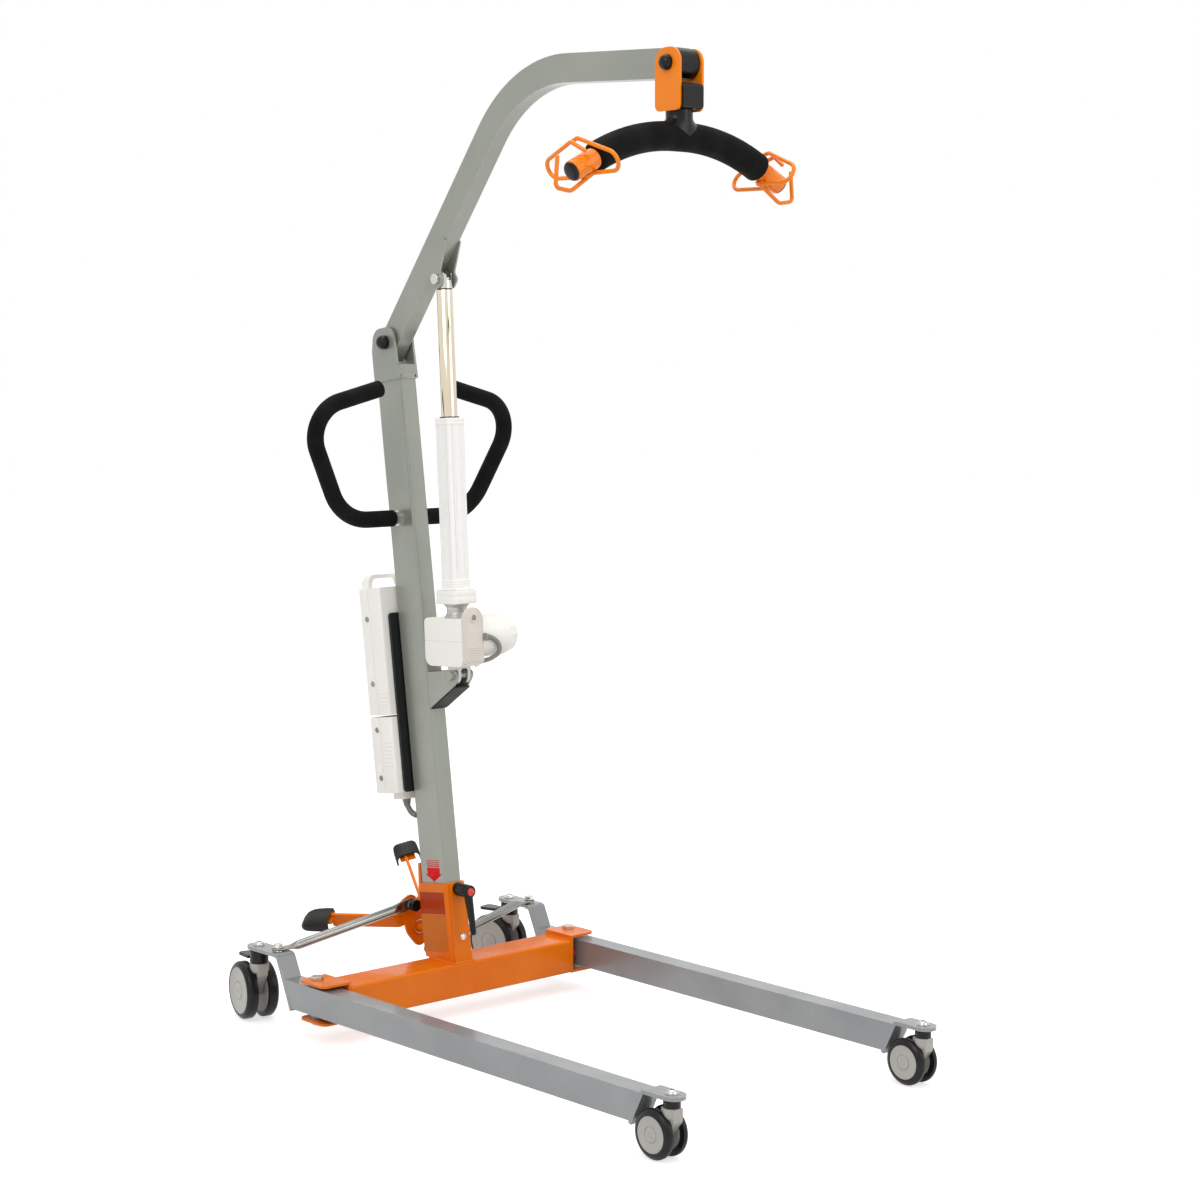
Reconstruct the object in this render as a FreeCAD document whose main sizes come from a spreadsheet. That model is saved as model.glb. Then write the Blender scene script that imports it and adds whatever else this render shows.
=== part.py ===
"""Mobile patient lift hoist: a parametric assembly of separate sub-parts, in millimetres.

While the sub-parts are made, +X is the lifting side (front), +Y the hoist's left and +Z up. The origin
is on the floor, midway between the pivots of the two legs. The finished model is then moved so that
its origin is the centre of its footprint.
"""
import FreeCAD, Part
import math
import os
import re
import Sketcher

Vector = FreeCAD.Vector
Rotation = FreeCAD.Rotation
Placement = FreeCAD.Placement

# ---------------------------------------------------------------- driving sizes, in mm and degrees
SIZES = {
    # fits and clearances
    "slack": 0.3,               # between pieces of different bodies that pass each other
    "run_fit": 0.1,             # radial, of a shaft or bolt in its hole
    "weld": 1.0,                # how far a welded piece sinks into its neighbour
    # cross beam and leg brackets
    "beam_rear": -24.0,
    "beam_depth": 72.0,
    "beam_low": 35.0,
    "beam_tall": 60.0,
    "beam_wall": 3.0,
    "web_face": 250.0,          # outer face of the bracket's web, from the middle
    "flange_thick": 4.0,
    "flange_over": 22.0,        # flange edge beyond the leg's pivot
    "flange_top": 103.0,
    "pivot_out": 280.0,         # leg pivot, from the middle
    "pivot_bolt": 12.0,
    # legs
    "leg_wide": 36.0,
    "leg_tall": 47.0,
    "leg_low": 46.7,
    "leg_wall": 2.5,
    "leg_front": 806.0,         # top corner of the slanted front cut
    "leg_rear": -72.0,          # top corner of the slanted rear cut
    "leg_slant": 23.0,          # how far a slanted cut runs over the tube's height
    "strap_thick": 6.0,
    "rear_strap_top": 132.6,
    "rear_strap_bend": -92.0,
    "front_strap_top": 98.8,
    "tie_bolt_back": 112.0,     # bolt that holds the push rod, behind the pivot
    "tie_bolt": 10.0,
    "tie_washer": 1.2,
    "bolt_across": 17.0,        # hexagon heads of the caster stems and tie bolts
    "bolt_head": 6.0,
    "toe_in": 0.5,
    # casters
    "stem_bolt": 10.0,
    "front_stem_ahead": 48.0,   # of the slanted front cut's top corner
    "rear_stem": 169.0,
    "front_wheel": 75.0,
    "front_trail": 22.0,
    "front_width": 46.0,
    "rear_wheel": 100.0,
    "rear_trail": 27.0,
    "rear_width": 60.0,
    "rear_yaw": 12.0,
    "front_fork_top": 79.0,
    "rear_fork_top": 102.0,
    "front_column": 27.0,       # diameter of a fork's round top
    "rear_column": 33.0,
    "column_tall": 16.0,
    "fork_wall": 18.0,          # thickness of a caster's centre web
    "wheel_gap": 1.0,
    "tread": 9.5,               # radial thickness of a tyre
    "axle": 8.0,
    "lever_reach": 62.0,
    # mast, which leans back
    "lean": 7.7,
    "mast_deep": 70.0,
    "mast_wide": 35.0,
    "mast_wall": 2.5,
    "mast_mid": 13.25,          # centre of the mast, forward of the lean axis
    "mast_low": 106.0,
    "mast_high": 1116.0,
    # socket round the foot of the mast
    "socket_gap": 0.5,
    "socket_wall": 4.0,
    "socket_high": 228.0,
    "front_plate": 5.0,
    "rear_gusset_high": 262.0,
    "clamp_level": 222.0,       # height of the clamp screw over the floor
    "clamp_hub": 23.0,
    "clamp_screw": 10.0,
    "clamp_tip": 64.0,
    "clamp_arm": 76.0,
    # head bracket and boom pivot
    "cheek": 4.0,
    "head_overlap": 6.0,        # of the cheeks over the mast's top
    "head_round": 26.0,
    "pivot_forward": 19.0,      # boom pivot in the mast's own directions
    "pivot_over": 60.0,         # and above its top
    "cross_plate": 18.0,
    "head_pin": 12.0,
    "knob": 24.0,
    "knob_out": 38.0,
    # boom
    "boom_tall": 46.0,
    "boom_wide": 28.0,
    "boom_wall": 2.5,
    "boom_rise": 51.8,
    "boom_droop": 3.1,
    "boom_lower": 559.0,        # pivot to the corner
    "boom_upper": 372.0,        # corner to the hanger's pin
    "boom_bend": 240.0,
    "boom_tail": 24.0,          # tube behind the pivot
    "tube_over": 8.0,           # tube beyond the hanger's pin
    "cap_round": 24.0,
    "lug_along": 170.0,         # actuator's upper pin, along the lower run
    "lug_under": 43.5,          # and below its centre line
    "lug_thick": 3.0,
    "lug_round": 15.0,
    "lug_bolt": 10.0,
    # actuator
    "foot_x": 36.0,
    "foot_z": 597.5,
    "rod": 27.4,
    "rod_inside": 87.0,         # rod left in its housing at full stroke
    "housing": 37.0,
    "housing_low": 146.5,
    "housing_high": 442.0,
    "collar": 55.0,
    "collar_low": 123.5,
    "neck_low": 99.5,
    "neck_foot": 44.0,
    "neck_waist": 34.0,
    "gear_low": 16.0,
    "gear_rear": 65.0,
    "gear_front": 44.0,
    "gear_wide": 44.0,
    "arch_plate": 6.0,
    "motor": 76.0,
    "motor_reach": 107.0,
    "motor_level": 64.6,
    "clevis_gap": 14.0,
    "foot_pin": 12.0,
    "foot_round": 15.0,
    "foot_plate": 4.0,
    # boxes on the back of the mast
    "plate_wide": 70.0,
    "plate_thick": 5.0,
    "plate_low": 389.0,
    "plate_high": 705.0,
    "box_deep": 70.0,
    "box_wide": 100.0,
    "control_high": 523.0,
    "battery_low": 527.0,
    "battery_high": 751.0,
    "battery_handle": 24.0,      # rise of the handle over the battery's top
    "handle_behind": 9.0,       # battery handle, ahead of the case's rear face
    "handle_deep": 20.0,
    "handle_half": 44.0,
    "relief_low": 13.0,         # block under the control box that holds its lead
    "lead": 9.0,
    "motor_lead": 7.0,
    # push handle
    "handle_tube": 22.0,
    "grip": 29.0,
    "grip_start": 9.0,          # beyond the mast's face
    "grip_tip": 8.0,            # closed end of a grip beyond the tube
    "handle_lean": 7.9,
    "handle_back": 92.0,        # handle's plane behind the pivots, one metre up
    "handle_level": 862.0,
    "handle_turn": 138.3,
    "handle_out": 233.1,
    "handle_top": 1049.0,
    "handle_end": 76.0,
    "handle_slope": 0.2565,
    "outer_bend": 89.0,
    "upper_bend": 59.0,
    # hanger and spreader
    "hanger_deep": 55.0,
    "hanger_high": 23.0,        # over its pin
    "hanger_low": 72.5,         # under its pin
    "hanger_gap": 43.0,
    "hanger_pin": 12.0,
    "block_top": 25.5,          # under the pin
    "neck": 42.0,
    "neck_pin": 16.0,
    "crown_drop": 110.0,
    "arch_flat": 10.0,          # straight run at the crown
    "arch_bend": 350.0,
    "arch_slope": 26.5,
    "bar_tube": 25.0,
    "bar_foam": 45.0,
    "foam_end": 175.0,
    "sleeve": 32.0,
    "sleeve_end": 218.0,
    "hook_wire": 6.5,
    "hook_first": 12.0,         # forward hook, along the sleeve
    "hook_second": 26.0,        # rearward hook
    "hook_reach": 130.0,        # corner of the forward wire before its bend
    "hook_reach_rear": 146.0,
    "hook_top": 37.5,           # apex over the sleeve's middle
    "hook_bend": 16.5,
    "hook_bend_top": 7.0,
    "outer_reach": 88.0,
    "outer_rise": 33.0,
    "outer_drop": 25.0,
    "weld_pad": 5.0,            # saddle that joins the three wires to the sleeve
    # pedal and push rods
    "rocker_level": 137.0,
    "rocker_front": 84.0,       # front face of the rocker plate, behind the pivots
    "rocker_thick": 5.0,
    "rocker_tilt": 26.0,
    "rocker_pin": 14.0,
    "rocker_hub": 24.0,
    "rocker_waist": 26.0,       # half width of the rocker plate at its pin
    "rocker_lobe": 14.0,
    "stud_reach": 48.0,
    "stud": 8.0,
    "rod_plane": 75.0,          # middle of the push rods' inner ends, behind the pivots
    "push_tube": 16.0,
    "push_flat": 4.0,
    "push_eye": 8.2,            # radial: hole round a stud, wide because the real pin joint is open
    "arm_root": 31.0,           # where an arm bends to the rear, from the middle
    "arm_bend": 14.0,
    "arm_low": 17.0,
    "arm_tall": 25.0,
    "arm_rise": 27.0,           # from the rocker to the pad
    "pad_out": 97.0,
    "pad_back": 192.0,
    "pad_long": 56.0,
    "pad_wide": 46.0,
    "pad_low": 7.0,             # rim of a pad over its arm's lower edge
    "pad_over": 4.0,            # crown of a pad over its arm's upper edge
    "pad_crown": 9.0,
    "pad_wall": 5.0,
    "pad_tab": 4.0,             # steel tab that a pad sits on
}
V = dict(SIZES)


def derive(name, value):
    """Adds a size that follows from the driving ones."""
    V[name] = value
    return value


def sind(angle):
    return math.sin(math.radians(angle))


def cosd(angle):
    return math.cos(math.radians(angle))


def leaning(q, s):
    """A point in the mast's directions (forward, up along it) as x and z over the floor."""
    return (q * cosd(V["lean"]) - s * sind(V["lean"]), q * sind(V["lean"]) + s * cosd(V["lean"]))


def upright(x, z):
    """The same point in the mast's directions."""
    return (x * cosd(V["lean"]) + z * sind(V["lean"]), -x * sind(V["lean"]) + z * cosd(V["lean"]))


def level_face(q, z):
    """How far forward a face of the mast, q ahead of the lean axis, is at height z."""
    return (q - z * sind(V["lean"])) / cosd(V["lean"])


# ---------------------------------------------------------------- places that follow from the sizes
derive("beam_front", V["beam_rear"] + V["beam_depth"])
derive("beam_high", V["beam_low"] + V["beam_tall"])
derive("flange_out", V["pivot_out"] + V["flange_over"])
derive("leg_high", V["leg_low"] + V["leg_tall"])
derive("mast_rear", V["mast_mid"] - V["mast_deep"] / 2)
derive("mast_front", V["mast_mid"] + V["mast_deep"] / 2)
derive("head_low", V["mast_high"] - V["head_overlap"])
derive("pivot_high", V["mast_high"] + V["pivot_over"])
derive("cross_plate_top", V["mast_high"] + V["cross_plate"])
derive("front_stem", V["leg_front"] + V["front_stem_ahead"])
head_x, head_z = leaning(V["pivot_forward"], V["pivot_high"])
derive("head_x", head_x)
derive("head_z", head_z)
corner_x = head_x + V["boom_lower"] * cosd(V["boom_rise"])
corner_z = head_z + V["boom_lower"] * sind(V["boom_rise"])
tip_x = corner_x + V["boom_upper"] * cosd(V["boom_droop"])
tip_z = corner_z - V["boom_upper"] * sind(V["boom_droop"])
lug_x = head_x + V["lug_along"] * cosd(V["boom_rise"]) + V["lug_under"] * sind(V["boom_rise"])
lug_z = head_z + V["lug_along"] * sind(V["boom_rise"]) - V["lug_under"] * cosd(V["boom_rise"])
pin_distance = math.hypot(lug_x - V["foot_x"], lug_z - V["foot_z"])
actuator_lean = math.degrees(math.atan2(V["foot_x"] - lug_x, lug_z - V["foot_z"]))
derive("pins_apart", pin_distance)
derive("rod_top", pin_distance - V["lug_round"] - 1.0)
derive("rod_low", V["housing_high"] - V["rod_inside"])
derive("bend_turn", V["boom_rise"] + V["boom_droop"])
derive("corner_along", corner_x - head_x)
derive("corner_up", corner_z - head_z)
derive("tip_along", tip_x - head_x)
derive("tip_up", tip_z - head_z)
derive("tube_end_along", V["tip_along"] + V["tube_over"] * cosd(V["boom_droop"]))
derive("tube_end_up", V["tip_up"] - V["tube_over"] * sind(V["boom_droop"]))
derive("cap_half", V["hanger_gap"] / 2 - 1.0)
derive("arch_corner", V["arch_flat"] + V["arch_bend"] * math.tan(math.radians(V["arch_slope"] / 2)))
foot_q, foot_s = upright(V["foot_x"], V["foot_z"])
derive("foot_q", foot_q)
derive("foot_s", foot_s)
handle_x = -V["handle_back"] + math.tan(math.radians(V["handle_lean"])) * (V["handle_level"] - 1000.0)
handle_q, handle_s = upright(handle_x, V["handle_level"])
derive("handle_q", handle_q)
derive("handle_s", handle_s)
derive("handle_rise", (V["handle_top"] - V["handle_level"]) / cosd(V["handle_lean"]))
inward = V["handle_slope"] / cosd(V["handle_lean"])
derive("handle_free_end", V["handle_rise"] + (V["handle_out"] - V["handle_end"]) * inward)
derive("handle_free", V["handle_free_end"] - V["grip_tip"] * inward)
derive("box_front", V["mast_rear"] - V["plate_thick"])
derive("box_rear", V["box_front"] - V["box_deep"])
lean_slope = math.tan(math.radians(V["lean"]))
plate_face = V["mast_front"] + V["socket_gap"] + V["socket_wall"] + V["front_plate"]
derive("clamp_inner", level_face(V["mast_front"], V["clamp_level"]) + V["slack"] + lean_slope * V["clamp_screw"] / 2)
derive("clamp_start", level_face(plate_face, V["clamp_level"]) + V["slack"] + lean_slope * V["clamp_hub"] / 2)
derive("tie_flat", V["rear_strap_top"] + V["tie_washer"] + V["slack"])
derive("tie_top", V["tie_flat"] + V["push_flat"] + V["slack"])
derive("rocker_rear", V["rocker_front"] + V["rocker_thick"])
derive("eye_lift", V["stud_reach"] * (1 - cosd(V["rocker_tilt"])) / 2)
derive("arm_turn", math.degrees(math.atan2(V["pad_back"] - V["rocker_rear"], V["pad_out"] - V["arm_root"])))
derive("arm_grade", V["arm_rise"] / (V["pad_back"] - V["rocker_rear"]))
derive("pad_top", V["arm_low"] + V["arm_tall"] + V["pad_over"])
derive("tab_top", V["pad_top"] - V["pad_crown"])

# ---------------------------------------------------------------- document and sheet
document = FreeCAD.newDocument("PatientLift")
sheet = document.addObject("Spreadsheet::Sheet", "Sizes")
for row, (alias, value) in enumerate(V.items(), start=1):
    sheet.set("A%d" % row, alias)
    sheet.set("B%d" % row, "%.6f" % value)
    sheet.setAlias("B%d" % row, alias)
document.recompute()

WORD = re.compile(r"[a-z_]+[a-z_0-9]*")
SUBPARTS = []


def bound(text):
    """The expression with each size's name pointing at its cell."""
    return WORD.sub(lambda m: "Sizes." + m.group() if m.group() in V else m.group(), str(text))


def body(label, placement=None):
    """A sub-part as a PartDesign body."""
    made = document.addObject("PartDesign::Body", label)
    made.Label = label
    made.AllowCompound = True
    made.Placement = placement or Placement()
    SUBPARTS.append(made)
    return made


def number(item, text):
    return float(item.evalExpression(bound(text)))


def sketch(owner, role, level="0"):
    """A sketch on one of the body's own origin planes, moved by level along +X, +Y or +Z."""
    made = owner.newObject("Sketcher::SketchObject", "Sketch")
    plane = [f for f in owner.Origin.OriginFeatures if f.Role == role][0]
    made.AttachmentSupport = (plane, [""])
    made.MapMode = "FlatFace"
    sign = "-" if role == "XZ_Plane" else ""
    made.setExpression("AttachmentOffset.Base.z", "%s(%s)" % (sign, bound(level)))
    return made


def fix(made, kind, place, text):
    """Holds a point of the sketch at the value of an expression."""
    index = made.addConstraint(Sketcher.Constraint(kind, *place, number(made, text)))
    made.setExpression("Constraints[%d]" % index, bound(text))


def draw(made, points, closed=True):
    """Straight runs through the points, (x, y) or (x, y, corner radius), all bound to the sheet."""
    at = [Vector(number(made, p[0]), number(made, p[1]), 0) for p in points]
    count = len(points)
    runs = count if closed else count - 1
    first = made.GeometryCount
    for i in range(runs):
        made.addGeometry(Part.LineSegment(at[i], at[(i + 1) % count]), False)
    for i in range(runs if closed else runs - 1):
        made.addConstraint(Sketcher.Constraint("Coincident", first + i, 2, first + (i + 1) % count, 1))
    for i, point in enumerate(points):
        place = (first + i, 1) if i < runs else (first + i - 1, 2)
        fix(made, "DistanceX", place, point[0])
        fix(made, "DistanceY", place, point[1])
    for i, point in enumerate(points):
        if len(point) < 3:
            continue
        before = made.GeometryCount
        made.fillet(first + (i - 1) % count, first + i, at[i - 1], at[(i + 1) % count],
                    number(made, point[2]), True, True)
        for k in range(before, made.GeometryCount):
            if isinstance(made.Geometry[k], Part.ArcOfCircle):
                index = made.addConstraint(Sketcher.Constraint("Radius", k, number(made, point[2])))
                made.setExpression("Constraints[%d]" % index, bound(point[2]))


def ring(made, x, y, radius):
    """A circle bound to the sheet."""
    centre = Vector(number(made, x), number(made, y), 0)
    index = made.addGeometry(Part.Circle(centre, Vector(0, 0, 1), number(made, radius)), False)
    fix(made, "DistanceX", (-1, 1, index, 3), x)
    fix(made, "DistanceY", (-1, 1, index, 3), y)
    fix(made, "Radius", (index,), radius)


def extrude(owner, kind, made, low, high):
    """Pads or pockets a sketch from low to high along +X, +Y or +Z."""
    feature = owner.newObject("PartDesign::" + kind, kind)
    feature.Profile = made
    feature.setExpression("Length", "(%s) - (%s)" % (bound(high), bound(low)))
    flipped = made.AttachmentSupport[0][0].Role == "XZ_Plane"
    feature.Reversed = flipped if kind == "Pad" else not flipped
    return feature


def plate(owner, role, points, low, high, kind="Pad"):
    made = sketch(owner, role, low)
    draw(made, points)
    return extrude(owner, kind, made, low, high)


def disc(owner, role, x, y, radius, low, high, kind="Pad"):
    made = sketch(owner, role, low)
    ring(made, x, y, radius)
    return extrude(owner, kind, made, low, high)


def square(x, y, wide, tall, radius=None):
    """Corners of a centred rectangle."""
    corners = []
    for a, b in (("-", "-"), ("+", "-"), ("+", "+"), ("-", "+")):
        corner = ("(%s) %s (%s) / 2" % (x, a, wide), "(%s) %s (%s) / 2" % (y, b, tall))
        corners.append(corner + (radius,) if radius else corner)
    return corners


def hexagon(owner, x, y, across, low, high):
    """A bolt head or nut about a Z axis."""
    points = []
    for step in range(6):
        turn = "%d" % (60 * step)
        points.append(("(%s) + (%s) * cos(%s deg) / 1.732" % (x, across, turn),
                       "(%s) + (%s) * sin(%s deg) / 1.732" % (y, across, turn)))
    return plate(owner, "XY_Plane", points, low, high)


def bent(owner, role, points, profile_role, level, x, y, radius, offset="0"):
    """A round bar along a bent line; the profile's plane is square to the first run."""
    path = sketch(owner, role, offset)
    draw(path, points, closed=False)
    profile = sketch(owner, profile_role, level)
    ring(profile, x, y, radius)
    pipe = owner.newObject("PartDesign::AdditivePipe", "Pipe")
    pipe.Profile = profile
    pipe.Spine = path
    return pipe


def mirrored(owner, features, role="XZ_Plane"):
    """A copy of the features on the other side of one of the body's planes."""
    plane = [f for f in owner.Origin.OriginFeatures if f.Role == role][0]
    feature = owner.newObject("PartDesign::Mirrored", "Mirrored")
    feature.Originals = features
    feature.MirrorPlane = (plane, [""])
    owner.Tip = feature
    return feature


def level_disc(owner, radius, low, high, level, kind="Pad"):
    """A disc along the floor's X direction, in a body that leans with the mast."""
    made = owner.newObject("Sketcher::SketchObject", "Sketch")
    plane = [f for f in owner.Origin.OriginFeatures if f.Role == "YZ_Plane"][0]
    made.AttachmentSupport = (plane, [""])
    made.MapMode = "FlatFace"
    x = number(made, low)
    z = number(made, level)
    turn = V["lean"]
    made.AttachmentOffset = Placement(Vector(0, z * cosd(turn) - x * sind(turn), x * cosd(turn) + z * sind(turn)),
                                      Rotation(Vector(1, 0, 0), turn))
    ring(made, "0", "0", radius)
    return extrude(owner, kind, made, low, high)


def tilted(x, z, turn):
    """A frame whose X and Z are turned nose-up by an angle about the Y axis."""
    return Placement(Vector(x, 0, z), Rotation(Vector(0, 1, 0), -turn))


LEAN = tilted(0, 0, V["lean"])
HANDLE = tilted(handle_x, V["handle_level"], -V["handle_lean"])
RISE = tilted(head_x, head_z, V["boom_rise"])
DROOP = tilted(tip_x, tip_z, -V["boom_droop"])
TIP = tilted(tip_x, tip_z, 0.0)
ACTUATOR = tilted(V["foot_x"], V["foot_z"], actuator_lean)
PEDAL = Placement(Vector(0, 0, V["rocker_level"]), Rotation(Vector(1, 0, 0), V["rocker_tilt"]))


# ---------------------------------------------------------------- base
def cross_beam():
    """The orange beam, with a C-shaped bracket at each end for a leg."""
    made = body("cross_beam")
    middle = "(beam_rear + beam_front) / 2"
    level = "beam_low + beam_tall / 2"
    plate(made, "XZ_Plane", square(middle, level, "beam_depth", "beam_tall", "5"),
          "-(web_face - flange_thick)", "web_face - flange_thick")
    plate(made, "XZ_Plane",
          square(middle, level, "beam_depth - 2 * beam_wall", "beam_tall - 2 * beam_wall", "2"),
          "-(web_face - flange_thick)", "web_face - flange_thick", "Pocket")
    web = plate(made, "XZ_Plane",
                square(middle, "(beam_low + flange_top) / 2", "beam_depth", "flange_top - beam_low"),
                "web_face - flange_thick", "web_face")
    flange = [("beam_rear", "web_face - flange_thick"), ("beam_front", "web_face - flange_thick"),
              ("beam_front", "flange_out", "12"), ("beam_rear", "flange_out", "12")]
    upper = plate(made, "XY_Plane", flange, "flange_top - flange_thick", "flange_top")
    lower = plate(made, "XY_Plane", flange, "beam_low", "beam_low + flange_thick")
    mirrored(made, [web, upper, lower])
    for side in ("pivot_out", "-pivot_out"):
        disc(made, "XY_Plane", "0", side, "pivot_bolt / 2", "0", "flange_top + 1", "Pocket")
    return made


def mast_socket():
    """The sleeve that the mast stands in, its floor and plates, and the pedal's pin at its back."""
    made = body("mast_socket", LEAN)
    low = "beam_low"
    inner_deep = "mast_deep + 2 * socket_gap"
    inner_wide = "mast_wide + 2 * socket_gap"
    outer_deep = "%s + 2 * socket_wall" % inner_deep
    outer_wide = "%s + 2 * socket_wall" % inner_wide
    plate(made, "XY_Plane", square("mast_mid", "0", outer_deep, outer_wide, "6"), low, "socket_high")
    wide = "(%s) / 2" % outer_wide
    front = "mast_mid + (%s) / 2" % outer_deep
    plate(made, "YZ_Plane",
          [("-%s + 2" % wide, low), ("%s - 2" % wide, low),
           ("15", "socket_high", "6"), ("-15", "socket_high", "6")],
          front + " - 1", front + " + front_plate")
    plate(made, "XZ_Plane",
          [("mast_rear - socket_gap - 2", "socket_high - 60"),
           ("mast_rear - socket_gap - socket_wall - 6", "socket_high - 14", "8"),
           ("mast_rear - socket_gap - socket_wall - 1", "rear_gusset_high"),
           ("mast_rear - socket_gap", "rear_gusset_high")], "-17", "17")
    level_disc(made, "rocker_pin / 2", "-(rocker_rear + 3)", "-43", "rocker_level")
    plate(made, "XY_Plane", square("mast_mid", "0", inner_deep, inner_wide, "2"),
          "mast_low", "rear_gusset_high + 1", "Pocket")
    level_disc(made, "clamp_screw / 2 + run_fit", "0", "60", "clamp_level", "Pocket")
    slope = "tan(lean * 1 deg)"
    level = "beam_high / cos(lean * 1 deg)"
    plate(made, "XZ_Plane", [("-90", "0"), ("110", "0"), ("110", "%s - 110 * %s" % (level, slope)),
                             ("-90", "%s + 90 * %s" % (level, slope))], "-40", "40", "Pocket")
    return made


def pivot_bolts():
    """Two bolts through flanges and leg bushes, with hexagon heads and nuts."""
    made = body("pivot_bolts")
    features = [disc(made, "XY_Plane", "0", "-pivot_out", "pivot_bolt / 2", "beam_low - 6", "flange_top + 1"),
                hexagon(made, "0", "-pivot_out", "19", "flange_top", "flange_top + 6.5"),
                hexagon(made, "0", "-pivot_out", "19", "beam_low - 8", "beam_low")]
    return mirrored(made, features)


def leg_stops():
    """Rubber stops on the bracket webs, for the closed and the open legs."""
    made = body("leg_stops")
    inner = "pivot_out - leg_wide / 2"
    front = disc(made, "XZ_Plane", "beam_front - 13", "beam_low + beam_tall / 2 + 3", "8",
                 "web_face", inner + " - 1")
    rear = disc(made, "XZ_Plane", "beam_rear + 9", "beam_low + beam_tall / 2 + 3", "7",
                "web_face", "web_face + 2.5")
    return mirrored(made, [front, rear])


def clamp_lever():
    """The screw that clamps the mast in the socket, turned by a drop-shaped lever."""
    made = body("clamp_lever")
    start = "clamp_start"
    disc(made, "YZ_Plane", "0", "clamp_level", "clamp_screw / 2", "clamp_inner", "clamp_tip - 10")
    disc(made, "YZ_Plane", "0", "clamp_level", "clamp_hub / 2", start, "clamp_tip")
    plate(made, "XZ_Plane",
          [("clamp_tip - 13", "clamp_level"), ("clamp_tip - 0.5", "clamp_level"),
           ("clamp_tip + 16", "clamp_level - clamp_arm", "5"),
           ("clamp_tip + 5", "clamp_level - clamp_arm - 1", "4")], "-7", "7")
    return made


# ---------------------------------------------------------------- mast
def mast_tube():
    """The leaning rectangular mast, open at the foot and capped at the head."""
    made = body("mast_tube", LEAN)
    plate(made, "XY_Plane", square("mast_mid", "0", "mast_deep", "mast_wide", "5"), "mast_low", "mast_high")
    plate(made, "XY_Plane",
          square("mast_mid", "0", "mast_deep - 2 * mast_wall", "mast_wide - 2 * mast_wall", "2.5"),
          "mast_low", "mast_high - 3", "Pocket")
    disc(made, "XZ_Plane", "handle_q", "handle_s", "handle_tube / 2", "-mast_wide", "mast_wide", "Pocket")
    return made


def head_bracket():
    """Two rounded cheeks on the mast's head, tied by a plate across the front and one at the back."""
    made = body("head_bracket", LEAN)
    cheek = [("mast_rear", "head_low"), ("mast_front", "head_low"),
             ("pivot_forward + head_round", "pivot_high", "14"),
             ("pivot_forward + head_round", "pivot_high + head_round", "head_round - 3"),
             ("pivot_forward - head_round - 6", "pivot_high + head_round", "head_round - 3"),
             ("mast_rear", "pivot_high - 12", "20")]
    side = plate(made, "XZ_Plane", cheek, "mast_wide / 2", "mast_wide / 2 + cheek")
    mirrored(made, [side])
    plate(made, "XY_Plane", [("mast_front - cheek", "-(mast_wide / 2 + weld)"),
                             ("mast_front", "-(mast_wide / 2 + weld)"),
                             ("mast_front", "mast_wide / 2 + weld"),
                             ("mast_front - cheek", "mast_wide / 2 + weld")],
          "mast_high", "cross_plate_top")
    plate(made, "XY_Plane", [("mast_rear", "-(mast_wide / 2 + weld)"),
                             ("mast_rear + cheek", "-(mast_wide / 2 + weld)"),
                             ("mast_rear + cheek", "mast_wide / 2 + weld"),
                             ("mast_rear", "mast_wide / 2 + weld")],
          "mast_high", "cross_plate_top - 5")
    disc(made, "XZ_Plane", "pivot_forward", "pivot_high", "head_pin / 2", "-60", "60", "Pocket")
    return made


def head_pin():
    """The boom's pivot pin with a domed knob on each end."""
    made = body("head_pin", LEAN)
    shaft = disc(made, "XZ_Plane", "pivot_forward", "pivot_high", "head_pin / 2", "-1", "knob_out - 4")
    outer = disc(made, "XZ_Plane", "pivot_forward", "pivot_high", "knob / 2", "mast_wide / 2 + cheek", "knob_out")
    bush = disc(made, "XZ_Plane", "pivot_forward", "pivot_high", "knob / 2",
                "boom_wide / 2 + slack", "mast_wide / 2")
    return mirrored(made, [shaft, outer, bush])


def handle_bar():
    """One bent tube through the mast; both ends rise, turn inward and stay free."""
    made = body("handle_bar", HANDLE)
    points = [("0", "0"), ("handle_turn", "0", "outer_bend"),
              ("handle_out", "handle_rise", "upper_bend"), ("handle_end + grip_tip", "handle_free")]
    pipe = bent(made, "YZ_Plane", points, "XZ_Plane", "0", "0", "0", "handle_tube / 2")
    return mirrored(made, [pipe])


def handle_grips():
    """Foam grips over the bent ends, closed by domed tips."""
    made = body("handle_grips", HANDLE)
    points = [("mast_wide / 2 + grip_start", "0"), ("handle_turn", "0", "outer_bend"),
              ("handle_out", "handle_rise", "upper_bend"), ("handle_end", "handle_free_end")]
    outer = bent(made, "YZ_Plane", points, "XZ_Plane", "mast_wide / 2 + grip_start", "0", "0", "grip / 2")
    mirrored(made, [outer])
    inner_points = [("0", "0"), ("handle_turn", "0", "outer_bend"),
                    ("handle_out", "handle_rise", "upper_bend"), ("handle_end + grip_tip", "handle_free")]
    path = sketch(made, "YZ_Plane")
    draw(path, inner_points, closed=False)
    profile = sketch(made, "XZ_Plane")
    ring(profile, "0", "0", "handle_tube / 2")
    hollow = made.newObject("PartDesign::SubtractivePipe", "Hollow")
    hollow.Profile = profile
    hollow.Spine = path
    return mirrored(made, [hollow])


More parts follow.
